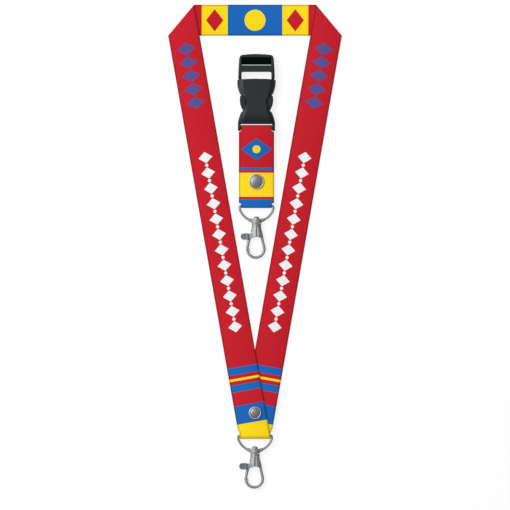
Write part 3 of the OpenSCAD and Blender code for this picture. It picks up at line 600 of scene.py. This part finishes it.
# A lighter copy of the cap's nickel: a painted highlight on the rivets' rolled rims.
rim_painted_highlight = metal("rim_painted_highlight", (0.48, 0.485, 0.49, 1), 0.36, 0.04)
steel = metal("steel", (0.34, 0.35, 0.36, 1), 0.42, 0.1)


def coat_kept(node, finish):
    """Gives a piece that is kept from the frame its finish."""
    coats = frame["nodes"][node].data.materials
    coats.clear()
    coats.append(finish)


def rivet_profile(radius, height):
    """Half the cap's section: flat underside, rolled rim and low dome."""
    rim = rim_w / 2
    roll = [(radius - rim, 0), *turn((radius - rim, rim), rim, -80, 140, 11)]
    flat = radius - rim_w - rim_gap
    dome = []
    for i in range(11):
        share = 1 - i / 10
        dome.append((flat * share, height * (dome_edge + (1 - dome_edge) * (1 - share**2))))
    return [(0, 0), *roll, *dome]


for end, body in (("neck", "neck_loop"), ("tail", "tail")):
    low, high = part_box(f"{end}_rivet_cap")
    at = Vector(((low.x + high.x) / 2, (low.y + high.y) / 2, low.z))
    cap_r = (high.x - low.x) / 2
    cap = turned(f"{end}_cap", rivet_profile(cap_r, high.z - low.z), at)
    # The rim faces get the lighter nickel, a painted highlight round the cap.
    for face in cap.data.polygons:
        face.material_index = 1 if (face.center - at).xy.length > cap_r - rim_w else 0
    cap.data.materials.append(cap_nickel)
    cap.data.materials.append(rim_painted_highlight)
    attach(cap, body)
    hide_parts(f"{end}_rivet_cap")
    coat_kept(f"{end}_rivet_stem", steel)
    coat_kept(f"{end}_rivet_back", steel)

# Eye rings: round steel wire bent to a D, its straight bar inside the strap's loop. The bend is
# caught in a cast boss, which the swivel pin turns in.
wire_r = 0.97 * mm
ring_half = 13.5 * mm
ring_leg = 2.9 * mm
ring_drop = 12.5 * mm
corner_r = 1.1 * mm
boss_half = 4.1 * mm
boss_t = 5.4 * mm
boss_len = 3.6 * mm
pin_hole_r = 1.36 * mm
collar_run = 2.2 * mm
collar_root = 2.05 * mm
collar_tip_r = 1.25 * mm
collar_root_r = 1.6 * mm
wire_end = 2.7 * mm


def wire(radius, start, heading):
    """Starts a wire: a disc across its heading, left selected so that it can be drawn on and bent."""
    bpy.ops.object.select_all(action="DESELECT")
    facing = Vector((*heading, 0)).to_track_quat("Z", "Y").to_euler()
    bpy.ops.mesh.primitive_circle_add(
        vertices=24, radius=radius, fill_type="NGON", location=(*start, 0), rotation=facing
    )
    bpy.ops.object.transform_apply(location=True, rotation=True)
    bpy.ops.object.mode_set(mode="EDIT")
    bpy.ops.mesh.select_mode(type="FACE")
    bpy.ops.mesh.select_all(action="SELECT")


def draw(x, y):
    bpy.ops.mesh.extrude_region_move(TRANSFORM_OT_translate={"value": (x, y, 0)})


def bend(centre, degrees):
    """Bends the wire on round a centre, anticlockwise seen from above."""
    steps = max(2, round(abs(degrees) / 7.5))
    bpy.ops.mesh.spin(steps=steps, angle=math.radians(degrees), center=(*centre, 0), axis=(0, 0, -1))


def close_up():
    """Ends an edit and gives back the piece with its faces turned outwards."""
    bpy.ops.mesh.select_all(action="SELECT")
    bpy.ops.mesh.normals_make_consistent(inside=False)
    bpy.ops.object.mode_set(mode="OBJECT")
    return bpy.context.object


def rod(start, end, radius, end_radius=None):
    """A round bar, or a cone, between two places."""
    start, end = Vector(start), Vector(end)
    bpy.ops.object.select_all(action="DESELECT")
    bpy.ops.mesh.primitive_cone_add(
        vertices=48,
        radius1=radius,
        radius2=radius if end_radius is None else end_radius,
        depth=(end - start).length,
        location=(start + end) / 2,
        rotation=(end - start).to_track_quat("Z", "Y").to_euler(),
    )
    bpy.ops.object.transform_apply(location=True, rotation=True)
    return bpy.context.object


def carve(piece, cutters):
    """Takes the cutters out of a piece."""
    for cutter in cutters:
        taken = piece.modifiers.new("cut", "BOOLEAN")
        taken.operation = "DIFFERENCE"
        taken.object = cutter
        taken.solver = "MANIFOLD"
    apply_modifiers(piece)
    piece.data.materials.clear()
    for cutter in cutters:
        bpy.data.objects.remove(cutter)
    return piece


def melt(name, solids, grain, rounds, kept):
    """Melts overlapping solids into one casting with softly rounded edges."""
    bpy.ops.object.select_all(action="DESELECT")
    for solid in solids:
        solid.select_set(True)
    cast = solids[0]
    bpy.context.view_layer.objects.active = cast
    bpy.ops.object.join()
    cast.name = name
    cast.data.name = name
    cast.data.materials.clear()
    skin = cast.modifiers.new("skin", "REMESH")
    skin.mode = "VOXEL"
    skin.voxel_size = grain
    soft = cast.modifiers.new("soft", "SMOOTH")
    soft.factor = 0.5
    soft.iterations = rounds
    light = cast.modifiers.new("light", "DECIMATE")
    light.ratio = kept
    apply_modifiers(cast)
    bpy.ops.object.shade_smooth()
    return cast


def copy_of(piece, name):
    """A copy of a piece, with a mesh of its own."""
    copy = bpy.data.objects.new(name, piece.data.copy())
    copy.data.name = name
    bpy.context.scene.collection.objects.link(copy)
    return copy


def at_both_ends(piece, name, finish):
    """Sets a piece that was made round the ring's bar at the neck, and a copy of it at the tail."""
    parts = {"neck": piece, "tail": copy_of(piece, name)}
    for end, part in parts.items():
        part.name = f"{end}_{name}"
        part.data.name = part.name
        part.data.transform(Matrix.Translation(neck_bar if end == "neck" else tail_bar))
        for coat in finish:
            part.data.materials.append(coat)
    return parts


def fit_both(piece, name, node, body, finish):
    """Sets a piece at both ends and hands each over to its own body."""
    for end, part in at_both_ends(piece, name, finish).items():
        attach(part, f"{end}_{body}")
        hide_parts(f"{end}_{node}")


bend_drop = ring_drop - ring_leg
bend_r = (ring_half**2 + bend_drop**2) / (2 * bend_drop)
bend_at = (0, bend_r - ring_drop)
bend_half = math.degrees(math.asin(ring_half / bend_r))
inside_boss = math.degrees(math.asin(wire_end / bend_r))
leg_angle = 90 - bend_half
lean = math.radians(inside_boss)
wire_start = bend_r * math.sin(lean), bend_at[1] - bend_r * math.cos(lean)
wire(wire_r, wire_start, (math.cos(lean), math.sin(lean)))
bend(bend_at, bend_half - inside_boss)
knee = math.radians(leg_angle)
knee_x = ring_half - corner_r * math.cos(knee)
knee_y = corner_r * math.sin(knee) - ring_leg
bend((knee_x, knee_y), leg_angle)
draw(0, -corner_r - knee_y)
bend((knee_x, -corner_r), 90)
draw(-2 * knee_x, 0)
bend((-knee_x, -corner_r), 90)
draw(0, knee_y + corner_r)
bend((-knee_x, knee_y), leg_angle)
bend(bend_at, bend_half - inside_boss)
ring_wire = close_up()

boss = rod((0, -ring_drop - boss_len / 2, 0), (0, -ring_drop + boss_len / 2, 0), boss_half)
boss.scale = (1, 1, boss_t / 2 / boss_half)
bpy.ops.object.transform_apply(scale=True)
carve(boss, [rod((0, -ring_drop - boss_len, 0), (0, -ring_drop + boss_len, 0), pin_hole_r)])
collar_x = boss_half + collar_run
collar_y = bend_at[1] - math.sqrt(bend_r**2 - collar_x**2)
collars = []
for side in (-1, 1):
    tip, root = (side * collar_x, collar_y, 0), (side * collar_root, -ring_drop, 0)
    collars.append(rod(tip, root, collar_tip_r, collar_root_r))
eye_ring = melt("eye_ring", [ring_wire, boss, *collars], grain=0.15 * mm, rounds=5, kept=0.4)
fit_both(eye_ring, "eye_ring", "ring", "eye", [nickel])

# Swivel pins: a turned shank that runs through the ring's boss into the hook's body, with a
# rounded head peened over on the inside of the ring.
pin_r = 1.3 * mm
head_r = 2.4 * mm
head_low = -10.6 * mm
head_h = 2.1 * mm
pin_foot = -19.4 * mm
head_side = 0.4 * head_h
pin_profile = [(0, pin_foot), (pin_r, pin_foot), (pin_r, head_low), (head_r, head_low)]
for i in range(7):
    rise = math.radians(15 * i)
    head_y = head_low + head_side + (head_h - head_side) * math.sin(rise)
    pin_profile.append((head_r * math.cos(rise), head_y))
pin = turned("pin", pin_profile, (0, 0, 0), "Y")
fit_both(pin, "pin", "swivel_pin", "hook", [steel])

# Hook bodies: a zinc casting, a flattened barrel that widens downwards, slotted for the gate, with
# a shallow groove down its face, and the open round bow that runs on from its right side.
body_top = -14.5 * mm
body_low = -25.7 * mm
body_stations = [
    (-14.5 * mm, 3.3 * mm, 2.3 * mm),
    (-14.8 * mm, 3.8 * mm, 2.7 * mm),
    (-17.1 * mm, 3.7 * mm, 2.75 * mm),
    (-19.5 * mm, 4.2 * mm, 2.8 * mm),
    (-21.4 * mm, 4.7 * mm, 2.8 * mm),
    (-23.2 * mm, 5.15 * mm, 2.8 * mm),
    (-25.0 * mm, 5.5 * mm, 2.8 * mm),
    (-25.7 * mm, 5.3 * mm, 2.6 * mm),
]
body_corner = 1.2 * mm
body_crown = 1.2 * mm
body_roundness = 1.4
gate_slot_half = 1.4 * mm
gate_slot_top = -20.8 * mm
gate_slot_left = -11 * mm
gate_slot_right = 0.4 * mm
arch_at = (0.2 * mm, -30.2 * mm)
arch_r = 5.2 * mm
hinge_hole_r = 0.82 * mm
pin_hole_depth = 5.02 * mm
pin_seat_r = 1.34 * mm
groove_x = 0.6 * mm
groove_z = 3.75 * mm
groove_top = -16.2 * mm
groove_r = 1.5 * mm
through = 9 * mm
past_end = 1 * mm
bow_at = (-0.6 * mm, -34.8 * mm)
bow_mid = 6.85 * mm
bow_wire_r = 1.15 * mm
bow_lean = 12.5
arm_rooted = 2.3 * mm
tip_angle = 18.6


def crown_faces(wide, high, crown, roundness):
    """Cuts up the upper and lower edge of a section and draws them in towards both sides."""
    bpy.ops.object.mode_set(mode="OBJECT")
    mesh = bpy.context.object.data
    for edge in mesh.edges:
        ends = [mesh.vertices[i].co for i in edge.vertices]
        on_face = all(abs(end.z) > high * 0.99 for end in ends)
        edge.select = on_face and abs(ends[0].x - ends[1].x) > wide
    bpy.ops.object.mode_set(mode="EDIT")
    bpy.ops.mesh.select_mode(type="EDGE")
    bpy.ops.mesh.subdivide(number_cuts=15)
    bpy.ops.object.mode_set(mode="OBJECT")
    for point in mesh.vertices:
        point.co.z -= crown * abs(point.co.x / wide) ** roundness * point.co.z / high
    bpy.ops.object.mode_set(mode="EDIT")
    bpy.ops.mesh.select_mode(type="FACE")
    bpy.ops.mesh.select_all(action="SELECT")


def drawn_out(stations, corner, flatness=1, facets=8, crown=0, roundness=2):
    """A section with round or faceted corners drawn along Y through (y, half width, half height)."""
    bpy.ops.object.select_all(action="DESELECT")
    y, wide, high = stations[0]
    bpy.ops.mesh.primitive_plane_add(size=2, location=(0, y, 0), rotation=(math.pi / 2, 0, 0))
    bpy.context.object.scale = (wide, high * flatness, 1)
    bpy.ops.object.transform_apply(location=True, rotation=True, scale=True)
    bpy.ops.object.mode_set(mode="EDIT")
    bpy.ops.mesh.select_mode(type="FACE")
    bpy.ops.mesh.select_all(action="SELECT")
    bpy.ops.mesh.bevel(offset=corner, affect="VERTICES", segments=facets)
    bpy.ops.transform.resize(value=(1, 1, 1 / flatness), center_override=(0, y, 0))
    crown_faces(wide, high, crown, roundness)
    for (y0, wide0, high0), (y1, wide1, high1) in zip(stations, stations[1:]):
        draw(0, y1 - y0)
        bpy.ops.transform.resize(value=(wide1 / wide0, 1, high1 / high0), center_override=(0, y1, 0))
    return close_up()


def box_between(low, high):
    bpy.ops.object.select_all(action="DESELECT")
    low, high = Vector(low), Vector(high)
    bpy.ops.mesh.primitive_cube_add(size=1, location=(low + high) / 2)
    bpy.context.object.scale = high - low
    bpy.ops.object.transform_apply(location=True, scale=True)
    return bpy.context.object


def off_bow(radius, degrees):
    """A place round the middle of the bow, at an angle downwards from its left side."""
    angle = math.radians(180 + degrees)
    return bow_at[0] + radius * math.cos(angle), bow_at[1] + radius * math.sin(angle)


hinge = pivot["neck_gate_open"] - neck_bar
barrel = drawn_out(body_stations, body_corner, crown=body_crown, roundness=body_roundness)
gate_slot_foot = (gate_slot_left, body_low - past_end, -gate_slot_half)
cutters = [
    box_between(gate_slot_foot, (gate_slot_right, gate_slot_top, gate_slot_half)),
    rod((*arch_at, -through), (*arch_at, through), arch_r),
    rod((hinge.x, hinge.y, -through), (hinge.x, hinge.y, through), hinge_hole_r),
    rod((0, body_top - pin_hole_depth, 0), (0, body_top + past_end, 0), pin_seat_r),
]
for face in (-groove_z, groove_z):
    cutters.append(rod((groove_x, body_low, face), (groove_x, groove_top, face), groove_r))
carve(barrel, cutters)

bow_turn = math.radians(bow_lean)
arm_foot = off_bow(bow_mid, bow_lean - 180)
arm_run = (body_low + arm_rooted - arm_foot[1]) / math.cos(bow_turn)
arm_head = arm_foot[0] - arm_run * math.sin(bow_turn), arm_foot[1] + arm_run * math.cos(bow_turn)
wire(bow_wire_r, arm_head, (math.sin(bow_turn), -math.cos(bow_turn)))
draw(arm_foot[0] - arm_head[0], arm_foot[1] - arm_head[1])
bend(bow_at, -(180 - tip_angle + bow_lean))
bow = close_up()


def ball(at, radius):
    bpy.ops.object.select_all(action="DESELECT")
    bpy.ops.mesh.primitive_uv_sphere_add(segments=32, ring_count=16, radius=radius, location=(*at, 0))
    bpy.ops.object.transform_apply(location=True)
    return bpy.context.object


tip = ball(off_bow(bow_mid, tip_angle), bow_wire_r)
hook = melt("hook", [barrel, bow, tip], grain=0.17 * mm, rounds=5, kept=0.4)
fit_both(hook, "hook", "hook_body", "hook", [nickel])

# Gates: a cast lever on a pin through the body, one side of the bow with a lip behind the bow's
# tip, and a ridged thumb tab outside. The hinge pin is kept from the frame.
tab_len = 6.5 * mm
tab_h = 5.2 * mm
tab_t = 4.6 * mm
tab_at = (-9.55 * mm, -24.74 * mm)
gate_t = 2.3 * mm
gate_end = 9
gate_head_drop = 0.8 * mm
gate_eye_r = 1.9 * mm
gate_hole_r = 0.86 * mm
lip_gap = 0.2 * mm
lip_t = 0.55 * mm
lip_w = 1.53 * mm
lip_angles = -5, -1, 4, 9, 14, 20, 26
lip_root_in = 0.5 * mm
lip_root_out = 0.7 * mm
lip_root_ends = -5, 8
tab_ridges = 4
ridged_share = 0.72
ridge_groove_r = 0.36 * mm
ridge_groove_lift = 0.1 * mm
dark_beside = 0.3 * mm
dark_below = 0.2 * mm


def plate(outline, thick):
    """A flat plate: its outline filled and extruded to its thickness, half to each side of z 0."""
    start_piece("plate", [(x, y, -thick / 2) for x, y in outline], [], [list(range(len(outline)))])
    bpy.ops.mesh.select_mode(type="FACE")
    bpy.ops.mesh.select_all(action="SELECT")
    bpy.ops.mesh.extrude_region_move(TRANSFORM_OT_translate={"value": (0, 0, thick)})
    return close_up()


gate_foot = off_bow(bow_mid, -bow_lean)
gate_run = (hinge.y - gate_head_drop - gate_foot[1]) / math.cos(bow_turn)
gate_head = gate_foot[0] + gate_run * math.sin(bow_turn), gate_foot[1] + gate_run * math.cos(bow_turn)
wire(bow_wire_r, gate_head, (-math.sin(bow_turn), -math.cos(bow_turn)))
draw(gate_foot[0] - gate_head[0], gate_foot[1] - gate_head[1])
bend(bow_at, bow_lean + gate_end)
gate_bar = close_up()
lip_out = bow_mid - bow_wire_r - lip_gap
lip_line = [off_bow(lip_out, a) for a in lip_angles]
lip_line += [off_bow(lip_out - lip_t, a) for a in reversed(lip_angles)]
lip = plate(lip_line, lip_w)
root_line = [off_bow(lip_out - lip_root_in, lip_root_ends[0])]
root_line += [off_bow(lip_out + lip_root_out, a) for a in lip_root_ends]
root_line += [off_bow(lip_out - lip_root_in, lip_root_ends[1])]
lip_root = plate(root_line, lip_w)
heel = (-0.93 * mm, hinge.y + 1.14 * mm)
lever = plate(
    [
        heel,
        (hinge.x, hinge.y + 1.71 * mm),
        (tab_at[0] + tab_len / 2, tab_at[1] + 0.35 * tab_h),
        (tab_at[0] + tab_len / 3, tab_at[1] - 0.4 * tab_h),
        (gate_head[0] - 1.15 * mm, gate_head[1] - 2.3 * mm),
        (gate_head[0] + 0.92 * mm, gate_head[1] - 2.07 * mm),
        (hinge.x + 0.76 * mm, hinge.y - 1.52 * mm),
        (heel[0], hinge.y),
    ],
    gate_t,
)
eye = rod((hinge.x, hinge.y, -gate_t / 2), (hinge.x, hinge.y, gate_t / 2), gate_eye_r)
tab_left, tab_right = tab_at[0] - tab_len / 2, tab_at[0] + tab_len / 2
tab_round = turn((tab_left + tab_h / 2, tab_at[1]), tab_h / 2, 75, 270, 13)
tab = plate([*tab_round, (tab_right, tab_at[1] - tab_h / 2), (tab_right, tab_at[1] + tab_h / 2)], tab_t)
pitch = ridged_share * tab_len / tab_ridges
grooves = []
for i in range(tab_ridges):
    x = tab_left + (i + 0.75) * pitch
    for face in (-1, 1):
        z = face * (tab_t / 2 + ridge_groove_lift)
        grooves.append(rod((x, tab_at[1] - tab_h, z), (x, tab_at[1] + tab_h, z), ridge_groove_r))
carve(tab, grooves)
gate = melt("gate", [gate_bar, lip, lip_root, lever, eye, tab], grain=0.15 * mm, rounds=4, kept=0.4)
carve(gate, [rod((hinge.x, hinge.y, -through), (hinge.x, hinge.y, through), gate_hole_r)])
bpy.ops.object.shade_smooth_by_angle(angle=math.radians(50))
for face in gate.data.polygons:
    x, y, z = face.center
    on_tab = x < tab_right + dark_beside and y > tab_at[1] - tab_h / 2 - dark_below
    face.material_index = 1 if on_tab else 0
dark_nickel = metal("dark_nickel", (0.19, 0.2, 0.21, 1), 0.34, 0.3)
fit_both(gate, "gate_lever", "gate", "hook_gate", [nickel, dark_nickel])
for end in ("neck", "tail"):
    coat_kept(f"{end}_gate_pin", steel)

# Gate springs: a strip of spring steel in the body's slot. One end is held in the body and the other
# rests on the gate's heel, so the strip bends when the gate is opened.
leaf_t = 0.25 * mm
leaf_edge = 0.05 * mm
leaf_w = 2.3 * mm
leaf_held = (-4.74 * mm, -20.945 * mm)
leaf_free = (-0.98 * mm, -22.135 * mm)
leaf_line = [leaf_held, *ramp(leaf_held, leaf_free, 16)]
leaf_runs = run_lengths(leaf_line)
leaf_len = leaf_runs[-1]
leaf = flat_ribbon("leaf", leaf_len, leaf_w, cuts_across(leaf_runs[1:-1], leaf_len))
for point in leaf.data.vertices:
    x, y = along(leaf_line, leaf_runs, point.co.x + leaf_len / 2)
    point.co = (x, y, point.co.y)
solid = leaf.modifiers.new("thickness", "SOLIDIFY")
solid.thickness = leaf_t
solid.offset = 0
soften(leaf, leaf_edge)
for end, part in at_both_ends(leaf, "leaf_spring", [steel]).items():
    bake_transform(part)
    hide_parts(f"{end}_gate_spring")

# Buckle socket: moulded black acetal. Two plates are joined at the sides, open at the mouth and at
# the two finger notches, and the strap goes round a bar at its far end.
socket_half_t = 4.5 * mm
end_half_t = 2.6 * mm
end_half = 15.0 * mm
waist_half = 11.4 * mm
window_half = 13.3 * mm
mouth_half = 15.5 * mm
shoulder_half = 14.65 * mm
shoulder_half_t = 2.4 * mm
slot_half = 12.6 * mm
slot_end = 2.9 * mm
land_y = 3.2 * mm
full_y = 11.9 * mm
flare_y = 2.2 * mm
waist_y = 14.7 * mm
window_low = 12.8 * mm
window_high = 26.8 * mm
swell_y = 36.4 * mm
shoulder_y = 36.4 * mm
mouth_y = 39.7 * mm
mouth_bow = 1.0 * mm
socket_corner = 4.4 * mm
corner_flatness = 2.3
corner_facets = 2
cavity_half = 11.9 * mm
cavity_half_t = 2.5 * mm
notch_at = (14.1 * mm, 20.6 * mm)
notch_r = 5.3 * mm
notch_flare = 1.2 * mm
notch_start = 1 * mm
notch_reach = 8 * mm
notch_wall = 1 * mm
wall_slope = 0.6
strap_bar_r = 1.3 * mm
strap_bar_inset = 0.5 * mm
beyond = 70 * mm
near = 0.1 * mm


def swell(start, end, at):
    """A rounded rise from one (y, size) to the next, steep at first and held beyond both."""
    share = max(0, min(1, (at - start[0]) / (end[0] - start[0])))
    return start[1] + (end[1] - start[1]) * math.sin(math.pi / 2 * share)


socket_stations = [(0, end_half, end_half_t)]
for i in range(13):
    y = flare_y + (waist_y - flare_y) * i / 12
    wide = swell((waist_y, waist_half), (flare_y, end_half), y)
    socket_stations.append((y, wide, swell((land_y, end_half_t), (full_y, socket_half_t), y)))
for i in range(8):
    y = window_high + (swell_y - window_high) * i / 7
    wide = swell((window_high, window_half), (swell_y, mouth_half), y)
    socket_stations.append((y, wide, socket_half_t))
socket_stations.append((mouth_y, mouth_half, socket_half_t))

shell = drawn_out(socket_stations, socket_corner, corner_flatness, corner_facets)
for point in shell.data.vertices:
    if point.co.y > mouth_y - near:
        point.co.y -= mouth_bow * (point.co.x / mouth_half) ** 2
cutters = [
    box_between((-cavity_half, window_low, -cavity_half_t), (cavity_half, beyond, cavity_half_t)),
    box_between((-beyond, window_low, -cavity_half_t), (beyond, window_high, cavity_half_t)),
    box_between((-shoulder_half, shoulder_y, -shoulder_half_t), (shoulder_half, beyond, shoulder_half_t)),
    box_between((-slot_half, -beyond, -beyond), (slot_half, slot_end, beyond)),
]
for side in (-1, 1):
    for face in (-1, 1):
        at = Vector((side * notch_at[0], notch_at[1], -face * notch_start))
        cutters.append(rod(at, at + Vector((0, 0, face * notch_reach)), notch_r, notch_r + notch_flare))
carve(shell, cutters)
strap_bar_half = end_half - strap_bar_inset
strap_bar = rod((-strap_bar_half, 0, 0), (strap_bar_half, 0, 0), strap_bar_r)
lugs = [rod((side * slot_half, 0, 0), (side * end_half, 0, 0), end_half_t) for side in (-1, 1)]
socket = melt("socket", [shell, strap_bar, *lugs], grain=0.22 * mm, rounds=4, kept=0.3)
# The steep walls round the finger notches get the darker plastic: painted shade in the notches.
for face in socket.data.polygons:
    far = math.hypot(abs(face.center.x) - notch_at[0], face.center.y - notch_at[1])
    face.material_index = 1 if far < notch_r + notch_wall and abs(face.normal.z) < wall_slope else 0


def plastic(name, colour, rough, shine):
    """Moulded plastic: a dark, slightly uneven satin skin with a fine grain."""
    made, tree = material(name)
    place = tree.nodes.new("ShaderNodeTexCoord").outputs["Object"]
    fine = add_node(tree, "ShaderNodeTexNoise", {"Vector": place, "Scale": 2500.0, "Detail": 3.0})
    cloud = add_node(tree, "ShaderNodeTexNoise", {"Vector": place, "Scale": 140.0, "Detail": 4.0})
    skin = add_node(tree, "ShaderNodeMapRange", [cloud, 0.3, 0.7, rough - 0.06, rough + 0.08])
    shade = add_node(tree, "ShaderNodeMapRange", [cloud, 0.3, 0.7, 0.85, 1.15])
    colour = add_node(tree, "ShaderNodeMixRGB", [1.0, colour, shade], blend_type="MULTIPLY")
    bump = add_node(tree, "ShaderNodeBump", {"Strength": 0.25, "Distance": 0.05 * mm, "Height": fine})
    satin = {"Base Color": colour, "Roughness": skin, "Specular IOR Level": shine, "Normal": bump}
    surface = add_node(tree, "ShaderNodeBsdfPrincipled", satin)
    add_node(tree, "ShaderNodeOutputMaterial", [surface])
    return made


black_plastic = plastic("black_plastic", (0.005, 0.008, 0.0095, 1), 0.44, 0.3)
# A darker, duller copy of the black plastic: painted shade for the walls of the slots and finger notches.
shade_painted_plastic = plastic("shade_painted_plastic", (0.0015, 0.0018, 0.002, 1), 0.8, 0.08)


def fit_buckle(piece, node, body, finish):
    """Sets a piece that was made round the buckle's bar at its place and hands it over."""
    piece.data.transform(Matrix.Translation(buckle_bar))
    for coat in finish:
        piece.data.materials.append(coat)
    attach(piece, body)
    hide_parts(node)


fit_buckle(socket, "buckle_socket", "socket", [black_plastic, shade_painted_plastic])

# Buckle plug: moulded in one with the latch arms. A ladder frame with a straight and a slanted strap
# slot, a shoulder block that sits in the socket's mouth and a centre tongue.
plug_stations = [
    (39.9 * mm, 14.6 * mm, 2.8 * mm),
    (40.3 * mm, 14.8 * mm, 3.0 * mm),
    (46.1 * mm, 14.6 * mm, 3.0 * mm),
    (51.0 * mm, 14.3 * mm, 3.0 * mm),
    (55.8 * mm, 13.95 * mm, 3.0 * mm),
    (57.2 * mm, 13.75 * mm, 3.0 * mm),
    (58.2 * mm, 13.4 * mm, 2.9 * mm),
    (58.9 * mm, 12.8 * mm, 2.6 * mm),
    (59.3 * mm, 11.6 * mm, 2.1 * mm),
]
plug_corner = 0.9 * mm
top_bow = 1.0 * mm
top_from = 57.2 * mm
top_half = 12.8 * mm
top_level = 0.3
slot_w_half = 12.0 * mm
slot_low = 38.8 * mm
slot_high = 45.0 * mm
slot_r = 1.2 * mm
slant_slot = [(51.4 * mm, 4 * mm), (58.1 * mm, 4 * mm), (49.4 * mm, -4 * mm), (44.8 * mm, -4 * mm)]
shade_painted_from = 46.0 * mm
shade_painted_half_t = 2.75 * mm
face_slope = 0.9
plug_inner_t = 4.6 * mm
root_at = (10.2 * mm, 36.2 * mm)
root_room = 1.35 * mm
base_half = 14.45 * mm
base_low = 35.4 * mm
base_y = 36.6 * mm
base_top = 40.4 * mm
tongue_half = 3.2 * mm
tongue_half_t = 1.7 * mm
tongue_low = 16.8 * mm
tongue_high = 37.8 * mm


def round_slot(half, low, high, radius):
    """The outline of a slot across the plug with rounded corners."""
    outline = []
    for x, y, first in ((half, high, 0), (-half, high, 90), (-half, low, 180), (half, low, 270)):
        centre = (x - math.copysign(radius, x), y - radius if y == high else y + radius)
        outline += turn(centre, radius, first, first + 90, 6)
    return outline


ladder = drawn_out(plug_stations, plug_corner)
for point in ladder.data.vertices:
    if point.co.y > top_from - near:
        point.co.y += top_bow * (top_level - (point.co.x / top_half) ** 2)
side_view_across = Matrix(((0, 0, 1, 0), (1, 0, 0, 0), (0, 1, 0, 0), (0, 0, 0, 1)))
slant = plate(slant_slot, 2 * slot_w_half)
slant.data.transform(side_view_across)
carve(ladder, [plate(round_slot(slot_w_half, slot_low, slot_high, slot_r), beyond), slant])
half_base = [
    (slot_w_half, slot_low),
    (slot_w_half, base_top),
    (base_half, base_top),
    (base_half, base_y),
    (root_at[0] + root_room, base_y),
    *turn(root_at, root_room, -20, 180, 10),
    (root_at[0] - root_room, base_low),
]
base = plate([*half_base, *((-x, y) for x, y in reversed(half_base))], plug_inner_t)
tongue_foot = (-tongue_half, tongue_low, -tongue_half_t)
tongue = box_between(tongue_foot, (tongue_half, tongue_high, tongue_half_t))
plug = melt("plug", [ladder, base, tongue], grain=0.22 * mm, rounds=4, kept=0.35)
# The walls inside the slanted slot get the darker plastic: painted shade in the slot.
for face in plug.data.polygons:
    x, y, z = face.center
    in_slot = abs(x) < slot_w_half and shade_painted_from < y < slant_slot[1][0] and abs(z) < shade_painted_half_t
    face.material_index = 1 if in_slot and face.normal.z < face_slope else 0
fit_buckle(plug, "buckle_plug", "plug", [black_plastic, shade_painted_plastic])

# Latch arms: sprung limbs of the plug's moulding, rooted in its base, whose thumb pads stand in the
# socket's finger notches.
pad_x = 13.5 * mm
pad_y = 22.4 * mm
pad_r = 15.3 * mm
limb_round = 1.0 * mm
root_r = 1.15 * mm
arm_outline = [
    (9.2 * mm, root_at[1]),
    (11.35 * mm, root_at[1]),
    (11.4 * mm, 27.8 * mm),
    (11.6 * mm, 26.4 * mm),
    *turn((pad_x - pad_r, pad_y), pad_r, 18, -35, 11),
    (9.4 * mm, 13.3 * mm),
    (8.4 * mm, 13.3 * mm),
    (8.2 * mm, 14.9 * mm),
    (8.2 * mm, pad_y),
]
limb = plate(arm_outline, plug_inner_t)
soften(limb, limb_round)
root = rod((*root_at, -plug_inner_t / 2), (*root_at, plug_inner_t / 2), root_r)
right_arm = melt("right_latch", [limb, root], grain=0.18 * mm, rounds=5, kept=0.3)
left_arm = copy_of(right_arm, "left_latch")
left_arm.data.transform(Matrix.Scale(-1, 4, (1, 0, 0)))
left_arm.data.flip_normals()
fit_buckle(right_arm, "buckle_right_arm", "right_arm", [black_plastic])
fit_buckle(left_arm, "buckle_left_arm", "left_arm", [black_plastic])
